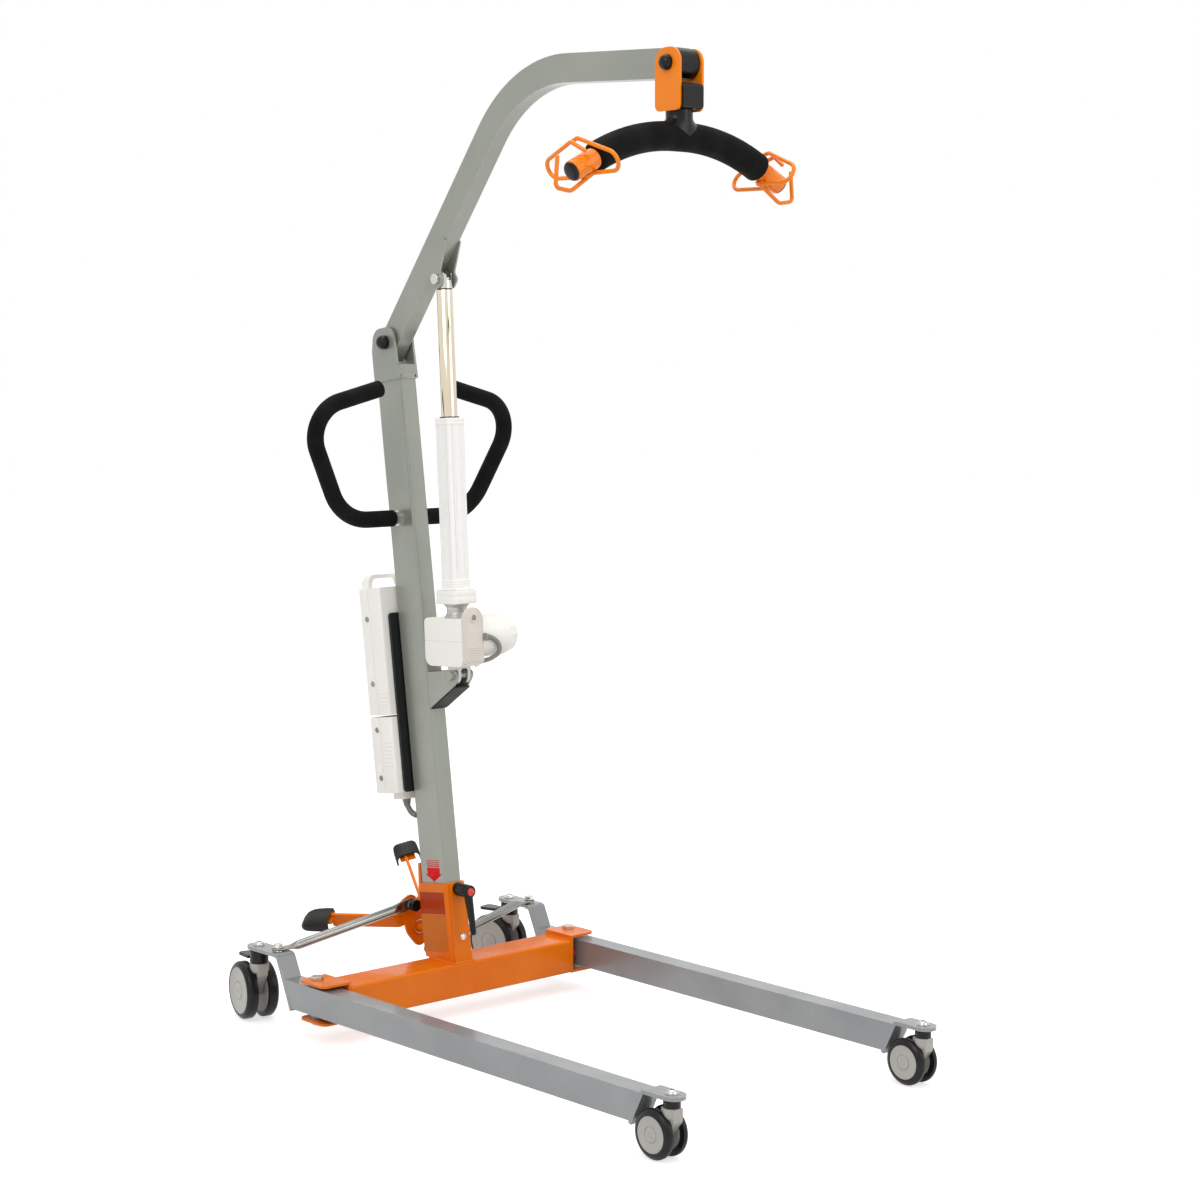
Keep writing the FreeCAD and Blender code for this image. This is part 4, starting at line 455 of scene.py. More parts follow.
rod_steel = finish("rod_steel", colour(232, 220, 198), colour(218, 204, 180), 0.10, metal=1.0, dusty=0.0,
                   relief="ground metal", relief_values={"Scale": 260.0, "Stretch": (0.05, 0.05, 3.0)},
                   bump=0.05, rough_spread=0.05)
cast_aluminium = finish("cast_aluminium", colour(190, 189, 185), colour(158, 157, 153), 0.40, metal=0.85,
                        dusty=0.04, grain_scale=700, bump=0.5, depth=0.0002, worn_and_lit=colour(226, 225, 222))
dull_steel = finish("dull_steel", colour(150, 150, 146), colour(112, 112, 108), 0.22, metal=1.0, dusty=0.0,
                    relief="ground metal", relief_values={"Scale": 220.0, "Stretch": (0.1, 1.0, 1.0)},
                    bump=0.15, worn_and_lit=colour(186, 185, 180))
black_plastic = finish("black_plastic", colour(12, 12, 12), colour(7, 7, 7), 0.30, dusty=0.0, specular=0.28,
                       grain_scale=1200, bump=0.18, worn_and_lit=colour(44, 44, 44), wear_and_glint_amount=0.4)
black_rubber = finish("black_rubber", colour(30, 29, 28), colour(18, 18, 17), 0.60, dusty=0.06,
                      grain_scale=700, bump=0.35, specular=0.35, worn_and_lit=colour(70, 69, 66))
red_rubber = finish("red_rubber", colour(198, 34, 22), colour(160, 24, 18), 0.50, dusty=0.02,
                    grain_scale=700, bump=0.3)
red_plastic = finish("red_plastic", colour(232, 36, 26), colour(212, 26, 20), 0.28, coat=0.4, dusty=0.0,
                     slot="black_plastic")
caster_grey = finish("caster_grey", colour(176, 173, 166), colour(164, 161, 154), 0.40, dusty=0.04,
                     grain_scale=1000, bump=0.22, worn_and_lit=colour(206, 204, 198))
hub_grey = finish("hub_grey", colour(178, 175, 169), colour(167, 164, 158), 0.40, dusty=0.04,
                  grain_scale=1000, bump=0.22, worn_and_lit=colour(206, 204, 198))
tyre_black = finish("tyre_black", colour(13, 12, 13), colour(8, 8, 9), 0.34, dusty=0.0, specular=0.3,
                    grain_scale=500, bump=0.25, worn_and_lit=colour(56, 55, 58), wear_and_glint_amount=0.3)
lead_grey = finish("lead_grey", colour(150, 149, 143), colour(118, 117, 111), 0.50, dusty=0.05,
                   grain_scale=900, bump=0.3)
arrow_red = finish("arrow_red", colour(222, 16, 20), colour(206, 10, 14), 0.50, dusty=0.0, bump=0.1,
                   specular=0.1, slot="grey_paint")
# Painted reflections: the darker and the lighter orange of the socket's panels.
dark_reflection_orange = finish("dark_reflection_orange", colour(176, 58, 0), colour(158, 44, 0), 0.28, coat=0.1,
                    dusty=0.0, bump=0.1, specular=0.1, slot="orange_paint")
light_reflection_orange = finish("light_reflection_orange", colour(206, 112, 0), colour(192, 98, 0), 0.28, coat=0.1,
                     dusty=0.0, bump=0.1, specular=0.1, slot="orange_paint")
arch_grey = finish("arch_grey", colour(222, 215, 206), colour(212, 204, 194), 0.44, dusty=0.02,
                   grain_scale=1500, bump=0.2, slot="cream_plastic")
print(len(bpy.data.materials), "finishes")

# %% [markdown]
# ## Machined and welded parts
# Most members are plate and tube, so the engineering model already has their shape. Each is softened here
# and given its finish. The list names the part, its body, its finish and how far its edges are rolled.

# %% Soften what stays as it was drawn
SIDES = (("right", -1), ("left", 1))
plain_parts = [
    ("cross_beam", "base", orange_paint, 0.0012), ("mast_socket", "base", orange_paint, 0.0010),
    ("pedal_rocker", "pedal", orange_paint, 0.0012), ("hanger_bracket", "hanger", hook_orange, 0.0008),
    ("mast_tube", "mast", grey_paint, 0.0008), ("head_bracket", "mast", grey_paint, 0.0010),
    ("actuator_bracket", "mast", grey_paint, 0.0007), ("boom_tube", "boom", grey_paint, 0.0024),
    ("boom_lugs", "boom", grey_paint, 0.0006), ("handle_bar", "mast", grey_paint, 0.0006),
    ("leg_right", "leg_right", leg_grey_painted_shade, 0.0010), ("leg_left", "leg_left", leg_grey_painted_shade, 0.0010),
    ("box_plate", "mast", dark_plate, 0.0010), ("gearbox_neck", "actuator", cast_aluminium, 0.0010),
    ("motor_lead", "actuator", lead_grey, 0.0), ("clevis", "actuator", cast_aluminium, 0.0008),
    ("rod_fork", "rod", bright_steel, 0.0008), ("control_lead", "mast", lead_grey, 0.0),
    ("lug_bolt", "boom", bright_steel, 0.0006),
    ("boom_end_cap", "boom", black_plastic, 0.0010), ("hanger_block", "hanger", black_plastic, 0.0016),
    ("spreader_bar", "spreader", bright_steel, 0.0),
    ("pivot_bolts", "base", bright_steel, 0.0006), ("leg_stops", "base", red_rubber, 0.0006),
    ("rocker_studs", "pedal", black_plastic, 0.0006)]
for label, _ in SIDES:
    plain_parts.append(("brake_lever_" + label, "brake_" + label, black_plastic, 0.0010))
for name, body, material, width in plain_parts:
    mesh = soften(name, width) if width else soften(name, 0.00001, 1)
    piece(name + "_shell", mesh, body, material, [name])
print("softened", len(plain_parts), "parts")

# %% [markdown]
# ## Growing what repeats
# Weld ripples, hose ribs and screws repeat along a path or over a set of points. A small tree of geometry
# nodes places each family, with a fixed seed, and the result is then kept as one plain mesh per body.

# %% Start and run a tree of geometry nodes
def growth(name, inputs):
    """An empty geometry tree with named inputs, and its two end nodes."""
    sockets = {"Geometry": ("NodeSocketGeometry", None)}
    sockets.update(inputs)
    sockets["Material"] = ("NodeSocketMaterial", None)
    return group(name, sockets, {"Geometry": "NodeSocketGeometry"}, "GeometryNodeTree")


def close_growth(tree, grown, source, target):
    """Realizes the instances, gives them their material and ends the tree."""
    real = node(tree, "GeometryNodeRealizeInstances", {"Geometry": grown}).outputs[0]
    done = node(tree, "GeometryNodeSetMaterial", {"Geometry": real, "Material": source["Material"]})
    tree.links.new(done.outputs[0], target["Geometry"])


def grow(mesh, tree, **inputs):
    """The mesh that a tree makes from a base mesh; its inputs are set by their sockets."""
    obj = bpy.data.objects.new("seedbed", mesh)
    scene.collection.objects.link(obj)
    run = obj.modifiers.new("grow", "NODES")
    run.node_group = tree
    for item in tree.interface.items_tree:
        if item.item_type == "SOCKET" and item.in_out == "INPUT" and item.name in inputs:
            run[item.identifier] = inputs[item.name]
    return finished(obj)


def trail(paths, place, closed=False, sizes=None):
    """A base mesh of polylines, in the local millimetres of a frame, with a size at each point."""
    mesh = bpy.data.meshes.new("trail")
    verts, edges = [], []
    for path in paths:
        first = len(verts)
        verts += [place @ Vector(point) for point in path]
        edges += [(first + k, first + k + 1) for k in range(len(path) - 1)]
        if closed:
            edges.append((len(verts) - 1, first))
    mesh.from_pydata(verts, edges, [])
    wide = mesh.attributes.new("size", "FLOAT", "POINT")
    wide.data.foreach_set("value", sizes or [1.0] * len(verts))
    return mesh


def bend(points, radii, steps=8):
    """Points along straight runs whose corners are rounded."""
    made = [Vector(points[0])]
    for k in range(1, len(points) - 1):
        corner = Vector(points[k])
        back = (Vector(points[k - 1]) - corner).normalized()
        ahead = (Vector(points[k + 1]) - corner).normalized()
        radius = radii[k - 1] if hasattr(radii, "__len__") else radii
        half = back.angle(ahead) / 2
        start = corner + back * (radius / math.tan(half))
        end = corner + ahead * (radius / math.tan(half))
        centre = corner + (back + ahead).normalized() * (radius / math.sin(half))
        turn = (start - centre).rotation_difference(end - centre)
        for step in range(steps + 1):
            part = Matrix.Identity(3).to_quaternion().slerp(turn, step / steps)
            made.append(centre + part @ (start - centre))
    made.append(Vector(points[-1]))
    return made


# %% A tube swept along a path
sweep, sweep_in, sweep_out = growth("swept tube", {"Radius": (FLOAT, 0.004), "Sides": ("NodeSocketInt", 24)})
line = node(sweep, "GeometryNodeMeshToCurve", {"Mesh": sweep_in["Geometry"]}).outputs[0]
circle = node(sweep, "GeometryNodeCurvePrimitiveCircle",
              {"Resolution": sweep_in["Sides"], "Radius": sweep_in["Radius"]}).outputs[0]
swell = node(sweep, "GeometryNodeInputNamedAttribute", {"Name": "size"}, data_type="FLOAT").outputs[0]
skin = node(sweep, "GeometryNodeCurveToMesh", {"Curve": line, "Profile Curve": circle, "Fill Caps": True,
                                               "Scale": swell})
smooth = node(sweep, "GeometryNodeSetShadeSmooth", {"Geometry": skin.outputs[0], "Shade Smooth": True})
close_growth(sweep, smooth.outputs[0], sweep_in, sweep_out)

# %% Weld ripples along a path
# A welder's bead is a row of overlapping pools, each a little different in size.
bead, bead_in, bead_out = growth("weld bead", {"Radius": (FLOAT, 0.002), "Step": (FLOAT, 0.0016),
                                               "Seed": ("NodeSocketInt", 3)})
line = node(bead, "GeometryNodeMeshToCurve", {"Mesh": bead_in["Geometry"]}).outputs[0]
spaced = node(bead, "GeometryNodeResampleCurve", {"Curve": line, "Length": bead_in["Step"]}, mode="LENGTH")
dots = node(bead, "GeometryNodeCurveToPoints", {"Curve": spaced.outputs[0]}, mode="EVALUATED")
pool = node(bead, "GeometryNodeMeshIcoSphere", {"Radius": bead_in["Radius"], "Subdivisions": 2}).outputs[0]
size = node(bead, "FunctionNodeRandomValue", {2: 0.82, 3: 1.12, "Seed": bead_in["Seed"]}, data_type="FLOAT")
laid = node(bead, "GeometryNodeInstanceOnPoints",
            {"Points": dots.outputs[0], "Instance": pool, "Rotation": dots.outputs["Rotation"],
             "Scale": size.outputs[1]})
smooth = node(bead, "GeometryNodeSetShadeSmooth", {"Geometry": laid.outputs[0], "Shade Smooth": True})
close_growth(bead, smooth.outputs[0], bead_in, bead_out)

# %% Rings along a path, for ribbed hoses, grooves and bellows
ribs, ribs_in, ribs_out = growth("ribs", {"Ring": (FLOAT, 0.0045), "Wire": (FLOAT, 0.0009),
                                          "Step": (FLOAT, 0.003)})
line = node(ribs, "GeometryNodeMeshToCurve", {"Mesh": ribs_in["Geometry"]}).outputs[0]
spaced = node(ribs, "GeometryNodeResampleCurve", {"Curve": line, "Length": ribs_in["Step"]}, mode="LENGTH")
dots = node(ribs, "GeometryNodeCurveToPoints", {"Curve": spaced.outputs[0]}, mode="EVALUATED")
loop = node(ribs, "GeometryNodeCurvePrimitiveCircle",
            {"Resolution": 20, "Radius": ribs_in["Ring"]}).outputs[0]
cut = node(ribs, "GeometryNodeCurvePrimitiveCircle",
           {"Resolution": 6, "Radius": ribs_in["Wire"]}).outputs[0]
ring = node(ribs, "GeometryNodeCurveToMesh", {"Curve": loop, "Profile Curve": cut}).outputs[0]
laid = node(ribs, "GeometryNodeInstanceOnPoints",
            {"Points": dots.outputs[0], "Instance": ring, "Rotation": dots.outputs["Rotation"]})
smooth = node(ribs, "GeometryNodeSetShadeSmooth", {"Geometry": laid.outputs[0], "Shade Smooth": True})
close_growth(ribs, smooth.outputs[0], ribs_in, ribs_out)

# %% Screws and nuts on points
# Each point carries the direction that its head faces and its size; the twist is left to a fixed seed,
# because nobody lines up screw slots by hand.
heads, heads_in, heads_out = growth("heads on points", {"Head": ("NodeSocketObject", None),
                                                        "Seed": ("NodeSocketInt", 5)})
shape = node(heads, "GeometryNodeObjectInfo", {"Object": heads_in["Head"]}).outputs["Geometry"]
aim = node(heads, "GeometryNodeInputNamedAttribute", {"Name": "aim"}, data_type="FLOAT_VECTOR").outputs[0]
scale = node(heads, "GeometryNodeInputNamedAttribute", {"Name": "size"}, data_type="FLOAT").outputs[0]
faced = node(heads, "FunctionNodeAlignRotationToVector", {"Vector": aim}, axis="Z").outputs[0]
twist = node(heads, "FunctionNodeRandomValue", {2: 0.0, 3: 6.28, "Seed": heads_in["Seed"]}, data_type="FLOAT")
about = node(heads, "FunctionNodeAxisAngleToRotation", {"Axis": (0, 0, 1), "Angle": twist.outputs[1]})
final = node(heads, "FunctionNodeRotateRotation", {"Rotation": faced, "Rotate By": about.outputs[0]},
             rotation_space="LOCAL")
laid = node(heads, "GeometryNodeInstanceOnPoints",
            {"Points": node(heads, "GeometryNodeMeshToPoints", {"Mesh": heads_in["Geometry"]}).outputs[0],
             "Instance": shape, "Rotation": final.outputs[0], "Scale": scale})
close_growth(heads, laid.outputs[0], heads_in, heads_out)


def set_out(spots, place):
    """Points with an aim and a size, from (x, y, z), direction and size in a frame's millimetres."""
    mesh = bpy.data.meshes.new("spots")
    mesh.from_pydata([place @ Vector(at) for at, _, _ in spots], [], [])
    mesh.attributes.new("aim", "FLOAT_VECTOR", "POINT")
    mesh.attributes.new("size", "FLOAT", "POINT")
    for k, (_, way, size) in enumerate(spots):
        mesh.attributes["aim"].data[k].vector = (place.to_3x3() @ Vector(way)).normalized()
        mesh.attributes["size"].data[k].value = size
    return mesh


def fixings(name, spots, place, head, body, material, seed=5):
    """One mesh of all the equal heads on a body."""
    mesh = grow(set_out(spots, place), heads, Head=head, Material=material, Seed=seed)
    return piece(name, mesh, body, material)


def tube(paths, place, radius, material, sides=24, sizes=None):
    """A mesh swept along paths, in a frame's millimetres."""
    return grow(trail(paths, place, sizes=sizes), sweep, Radius=radius / 1000, Sides=sides, Material=material)


def capsule(path, radius, dome, inner=0.0):
    """A finely spaced path and its sizes, so that a swept tube ends in domes of that length."""
    points = [Vector(p) for p in path]
    lengths = [0.0]
    for a, b in zip(points, points[1:]):
        lengths.append(lengths[-1] + (b - a).length)
    total = lengths[-1]
    marks = [dome * (1 - math.cos(math.pi / 2 * k / 7)) for k in range(8)]
    marks = sorted(set(marks + [m for m in lengths if dome < m < total - dome] + [total - m for m in marks]))
    made, sizes = [], []
    for mark in marks:
        k = max(i for i in range(len(lengths) - 1) if lengths[i] <= mark + 1e-9)
        share = (mark - lengths[k]) / (lengths[k + 1] - lengths[k])
        made.append(points[k].lerp(points[k + 1], share))
        near = min(mark, total - mark)
        part = 1.0 if near >= dome else math.sqrt(max(0.0, 1 - (1 - near / dome) ** 2))
        sizes.append((inner + (radius - inner) * part) / radius)
    return made, [max(size, 0.02) for size in sizes]


def merged(meshes, name):
    """One mesh from several finished ones, which go."""
    bm = bmesh.new()
    for mesh in meshes:
        bm.from_mesh(mesh)
        bpy.data.meshes.remove(mesh)
    return mesh_of(bm, name, 40)


print("trees:", [t.name for t in bpy.data.node_groups if t.bl_idname == "GeometryNodeTree"])

# %% [markdown]
# ## Heads
# Four kinds of head hold the hoist together: hexagon bolts on a washer, button heads with a hexagon
# socket, small cross screws for the plastic cases, and black domed knobs over the ends of the pins.

# %% Model each head once, in metres, facing up
def head_object(name, parts, width=0.0004):
    """A head that the tree can place; it is never shown itself."""
    mesh = rolled(mesh_of(joined(parts), name), width, 2) if width else mesh_of(joined(parts), name)
    return bpy.data.objects.new(name, mesh)


def regular(sides, radius):
    """The corners of a regular polygon."""
    return [(radius * math.cos(math.tau * k / sides), radius * math.sin(math.tau * k / sides))
            for k in range(sides)]


washer = [(4.5, 0), (9.6, 0), (9.9, 0.3), (9.9, 1.2), (9.6, 1.5), (4.5, 1.5)]
hexagon_head = head_object("hexagon_head", [
    (spun(washer, 40), MM), (solid_of(regular(6, 9.2), 1.5, 6.8), MM),
    (spun([(0, 6.8), (7.6, 6.8), (7.2, 7.4), (0, 7.6)], 40, False), MM)], 0.0005)
button_head = head_object("button_head", [
    (spun([(4.5, 0), (11.0, 0), (11.3, 0.4), (11.3, 1.3), (11.0, 1.6), (4.5, 1.6)], 40), MM),
    (spun([(9.0, 1.6), (9.2, 2.2), (8.6, 4.0), (7.2, 5.6), (5.2, 6.6), (3.4, 6.9), (3.4, 3.4), (0, 3.2)],
          40, False), MM)], 0.0)
cross_head = head_object("cross_head", [
    (spun([(3.6, 0), (3.7, 0.4), (3.3, 1.3), (2.4, 1.9), (0, 2.2)], 24, False), MM),
    (solid_of([(-2.2, -0.35), (2.2, -0.35), (2.2, 0.35), (-2.2, 0.35)], 1.6, 2.32), MM),
    (solid_of([(-0.35, -2.2), (0.35, -2.2), (0.35, 2.2), (-0.35, 2.2)], 1.6, 2.32), MM)], 0.0)
knob_head = head_object("knob_head", [
    (spun([(0, 0), (10.5, 0), (11.6, 0.8), (12.0, 2.4), (12.0, 6.5), (11.2, 9.4), (9.0, 12.0),
           (5.6, 13.8), (2.4, 14.5), (0, 14.7)], 48, False), MM)], 0.0)
print("heads ready")

# %% [markdown]
# ## Casters
# Twin-wheel casters: a moulded centre web with a round column on top, two wheels on one axle, a black
# swivel collar under the strap and a bolt through everything. The tyre is a separate rubber ring with a
# slanted shoulder, pressed onto a hub whose face has one moulded ring groove.

# %% Build the four casters
CASTERS = {"front": dict(stem=854.0, trail=22.0, wheel=37.5, half=23.0, top=79.0, column=13.5,
                         hub=27.6, groove=11.4, strap=98.8, yaw=0.0),
           "rear": dict(stem=-169.0, trail=27.0, wheel=50.0, half=30.0, top=102.0, column=16.5,
                        hub=41.0, groove=15.6, strap=132.6, yaw=12.0)}
WEB = 9.0                                                 # half the thickness of the centre web
PIVOT_OUT, TOE_IN = 280.0, 0.5                            # a leg's pivot off the middle; its turn in degrees


def leg_frame(side):
    """A leg's own frame: its pivot, turned in a little at rest."""
    return (MM @ Matrix.Translation((FOOT_BACK, side * PIVOT_OUT, 0))
            @ Matrix.Rotation(math.radians(-side * TOE_IN), 4, "Z"))


def caster_frame(end, side):
    """The swivel axis of a caster; its wheel trails along -X."""
    made = CASTERS[end]
    spot = leg_frame(side) @ Vector((made["stem"], 0, 0))
    return (Matrix.Translation(spot) @ MM @ Matrix.Rotation(math.radians(side * made["yaw"]), 4, "Z"))


def tyre_profile(c):
    """Half a wheel's rubber: flat tread, rounded inner edge, slanted outer shoulder."""
    r, hub, near, far = c["wheel"], c["hub"], WEB + 1.0, c["half"]
    step = (r - hub) / 10.0
    return [(hub - 0.4, near + 0.3), (r - 1.6, near), (r - 0.5, near + 0.5), (r, near + 1.8),
            (r, far - 7.4), (r - 0.25, far - 6.2), (r - 1.2, far - 4.8), (r - 4.2 * step, far - 2.2),
            (hub + 3.4 * step, far - 1.1), (hub + 1.2, far - 0.5), (hub + 0.3, far - 0.6),
            (hub - 0.4, far - 1.4)]


def hub_profile(c):
    """The hub's disc with a raised rim, one ring groove and a shallow boss."""
    hub, groove, near, far = c["hub"], c["groove"], WEB + 1.2, c["half"] - 1.0
    return [(0, near), (hub - 0.1, near), (hub - 0.1, far - 0.9), (hub - 0.7, far - 0.1), (hub - 1.6, far),
            (hub - 2.4, far - 0.35), (groove + 1.5, far - 0.55), (groove + 1.1, far - 1.5),
            (groove - 0.1, far - 1.5), (groove - 0.5, far - 0.3), (groove - 2.2, far), (5.0, far),
            (4.6, far - 0.6), (3.9, far - 0.6), (3.6, far - 0.1), (0, far)]


def web_outline(c):
    """Side view of the centre web: flush with the column in front, sloping back to the axle."""
    col, top, axle, r = c["column"], c["top"], -c["trail"], c["wheel"]
    points = [(col, top - 0.5), (col, top - 20), (axle + 13, r - 6), (axle + 2, r - 11.5), (axle - 9, r - 5),
              (axle - 11.5, r + 9), (-col, top - 17), (-col, top - 0.5)]
    return rounded(points, [0.5, 9, 9, 8, 8, 12, 10, 0.5], 5)


for end, c in CASTERS.items():
    for label, side in SIDES:
        corner = end + "_" + label
        place = caster_frame(end, side)
        axle = place @ Matrix.Translation((-c["trail"], 0, c["wheel"]))
        both = (ALONG_Y, MIRROR_Y @ ALONG_Y)
        tyre = joined([(spun(tyre_profile(c), 96), axle @ way) for way in both])
        piece("tyres_%s_rubber" % corner, mesh_of(tyre, "tyres"), "wheels_" + corner, tyre_black,
              ["tyres_" + corner])
        spindle = spun([(0, -WEB - 1.3), (3.9, -WEB - 1.3), (3.9, WEB + 1.3), (0, WEB + 1.3)], 24, False)
        hub = joined([(spun(hub_profile(c), 80, False), axle @ way) for way in both]
                     + [(spindle, axle @ ALONG_Y)])
        piece("hubs_%s_moulded" % corner, mesh_of(hub, "hubs"), "wheels_" + corner, hub_grey,
              ["hubs_" + corner])
        col, top = c["column"], c["top"]
        web = rolled(mesh_of(solid_of(web_outline(c), -WEB, WEB), "web"), 2.4, 4)
        bm = bmesh.new()
        bm.from_mesh(web)
        column = spun([(0, top - 17.5), (col - 3, top - 17.5), (col - 0.8, top - 15.5), (col, top - 12),
                       (col, top - 1.4), (col - 0.5, top - 0.4), (col - 1.6, top), (0, top)], 56, False)
        boss = spun([(0, -WEB - 0.8), (8, -WEB - 0.8), (9.4, -WEB), (9.4, WEB), (8, WEB + 0.8),
                     (0, WEB + 0.8)], 40, False)
        fork = joined([(bm, place @ UP_Y), (column, place), (boss, axle @ ALONG_Y)])
        piece("fork_%s_moulded" % corner, mesh_of(fork, "fork"), "caster_" + corner, caster_grey,
              ["fork_" + corner])
print("four casters, wheels of 75 and 100 mm")

# %% [markdown]
# The stems stay with the leg: a black collar sits under each strap with a bright spacer above it, and a
# button head closes the top. The tie bolt of the push rod stands between pivot and rear caster.

# %% Stems, collars and strap bolts
TIE_BACK = -112.0                                         # the tie bolt, behind the leg's pivot
for label, side in SIDES:
    place = leg_frame(side)
    collars, bright, spots = [], [], []
    for c in CASTERS.values():
        gap = c["strap"] - 6.0
        wide = c["column"] - 0.6
        at = Matrix.Translation((c["stem"], 0, 0))
        collars.append((spun([(0, c["top"] + 0.3), (wide - 0.8, c["top"] + 0.3), (wide, c["top"] + 1.2),
                              (wide, gap - 3.4), (wide - 1.0, gap - 2.4), (0, gap - 2.4)], 48, False),
                        place @ at))
        bright.append((spun([(0, gap - 2.8), (wide - 3.2, gap - 2.8), (wide - 2.8, gap - 2.3),
                             (wide - 2.8, gap - 0.4), (wide - 3.2, gap), (0, gap)], 40, False), place @ at))
        spots.append(((c["stem"], 0, c["strap"]), (0, 0, 1), 0.92))
    tie_shaft = spun([(0, 126.0), (4.95, 126.0), (4.95, 139.0), (0, 139.0)], 32, False)
    tie_ring = spun([(5.1, 132.6), (9.6, 132.6), (9.9, 133.2), (9.6, 133.8), (5.1, 133.8)], 40)
    bright += placed([tie_shaft, tie_ring], place @ Matrix.Translation((TIE_BACK, 0, 0)))
    piece("swivel_collars_" + label, mesh_of(joined(collars), "collars"), "leg_" + label, black_plastic,
          ["leg_bolts_" + label])
    piece("spacers_" + label, mesh_of(joined(bright), "spacers"), "leg_" + label, bright_steel)
    fixings("strap_bolts_" + label, spots, place, button_head, "leg_" + label, bright_steel, 11)
    ties = [((TIE_BACK, 0, 138.4), (0, 0, 1), 0.86), ((TIE_BACK, 0, 126.6), (0, 0, -1), 0.86)]
    fixings("tie_bolts_" + label, ties, place, hexagon_head, "leg_" + label, bright_steel, 12)
print("stems and strap bolts ready")

# %% [markdown]
# ## Spreader
# The arch is a steel tube inside thick black foam. The foam ends are domed, the round neck flares into a
# saddle on top of it, and orange sleeves with black plugs carry three open wire hooks each. Wire and foam
# are swept along the same lines that the engineering model uses.

# %% Foam, neck, sleeves and plugs
CROWN, END_Y, END_Z, SLOPE = -110.0, 175.0, -151.19, 26.5
arch = bend([(0, -END_Y, END_Z), (0, -92.4, CROWN), (0, 92.4, CROWN), (0, END_Y, END_Z)], 345.0, 16)
path, sizes = capsule(arch, 22.5, 7.0, 14.0)
foam_mesh = tube([path], HANGER, 22.5, black_foam, 64, sizes)
piece("spreader_foam", merged([foam_mesh], "foam"), "spreader", black_foam, ["bar_foam"])

NECK_SIDES, NECK_STEPS = 64, 14
rings = []
bm = bmesh.new()
for k in range(NECK_STEPS + 1):
    t = k / NECK_STEPS
    flare = max(0.0, (t - 0.45) / 0.55) ** 2.2
    ring = []
    for j in range(NECK_SIDES):
        a = math.tau * j / NECK_SIDES
        x = (21.0 + 2.2 * flare) * math.cos(a)
        y = (21.0 + 11.0 * flare) * math.sin(a)
        seat = CROWN - 1.2 + math.sqrt(max(0.0, 23.2 ** 2 - x * x)) - 0.0013 * y * y
        ring.append(bm.verts.new((x, y, -70.2 * (1 - t) + seat * t)))
    rings.append(ring)
lid = [bm.verts.new((v.co.x * 0.93, v.co.y * 0.93, -69.4)) for v in rings[0]]
for low, high in zip([lid] + rings, rings):
    for j in range(NECK_SIDES):
        n = (j + 1) % NECK_SIDES
        bm.faces.new([low[j], low[n], high[n], high[j]])
bm.faces.new(lid)
bm.faces.new(rings[-1])
bmesh.ops.recalc_face_normals(bm, faces=bm.faces)
piece("saddle_neck", mesh_of(joined([(bm, HANGER)]), "neck", 30), "spreader", black_plastic,
      ["spreader_neck"])


def bar_end(side):
    """The straight end of the spreader: +Y runs outward along the bar on either side."""
    return (HANGER @ Matrix.Translation((0, side * END_Y, END_Z))
            @ Matrix.Rotation(math.radians(-side * SLOPE), 4, "X") @ Matrix.Scale(side, 4, (0, 1, 0)))


sleeves, plugs = [], []
for _, side in SIDES:
    place = bar_end(side)
    sleeves.append((spun([(12.6, 0.2), (15.4, 0.2), (16.0, 0.8), (16.0, 46.6), (15.6, 47.6), (14.6, 48.0),
                          (12.6, 48.0)], 64), place @ ALONG_Y))
    plugs.append((spun([(0, 44), (12.5, 44), (12.5, 48.1), (14.3, 48.1), (14.6, 48.9), (14.2, 50.4),
                        (12.0, 51.9), (8.0, 52.9), (0, 53.3)], 48, False), place @ ALONG_Y))
piece("orange_sleeves", mesh_of(joined(sleeves), "sleeves"), "spreader", hook_orange, ["end_sleeves"])
piece("sleeve_plugs", mesh_of(joined(plugs), "plugs"), "spreader", black_plastic)

# %% [markdown]
# The hooks are bent from 6.5 mm rod with round ends and are welded to a small saddle under each sleeve.

# %% Wire hooks
UNDER = -18.75
meshes = []
for _, side in SIDES:
    for points, radii in (
            ([(-8, 12, UNDER), (130, 12, UNDER + 2), (-6, 12, 37.5), (-24, 12, 31)], (16.5, 7)),
            ([(8, 26, UNDER), (-146, 26, UNDER + 2), (-6, 26, 37.5), (20, 26, 20.5)], (16.5, 7)),
            ([(0, 5, UNDER), (0, 63, -25), (0, 88, -8), (0, 63, 33)], (16.5, 8.25))):
        path, sizes = capsule(bend(points, radii, 14), 3.25, 3.2)
        meshes.append(tube([path], bar_end(side), 3.25, hook_orange, 20, sizes))
hooks = merged(meshes, "hooks")
bm = bmesh.new()
bm.from_mesh(hooks)
bmesh.ops.recalc_face_normals(bm, faces=bm.faces)
saddles = [(solid_of(rounded([(-7, 6), (7, 6), (7, 32), (-7, 32)], 3.0), -19.2, -15.0), bar_end(side))
           for _, side in SIDES]
saddle = rolled(mesh_of(joined(saddles), "saddles"), 0.0008)
bm.from_mesh(saddle)
piece("wire_hooks", mesh_of(bm, "hooks", 40), "spreader", hook_orange, ["sling_hooks"])
hook_seams = [[(-9 + 2.4 * k, y, UNDER + 2.4) for k in range(8)] for y in (9.3, 15.2, 23.2, 29.4)]
for label, side in SIDES:
    mesh = grow(trail(hook_seams, bar_end(side)), bead, Radius=0.0013, Step=0.0014, Seed=7 + side,
                Material=hook_orange)
    piece("hook_welds_" + label, mesh, "spreader", hook_orange)

# %% [markdown]
# ## Push handle
# One tube runs through the mast. Foam covers both bent ends down to a few millimetres from the mast.

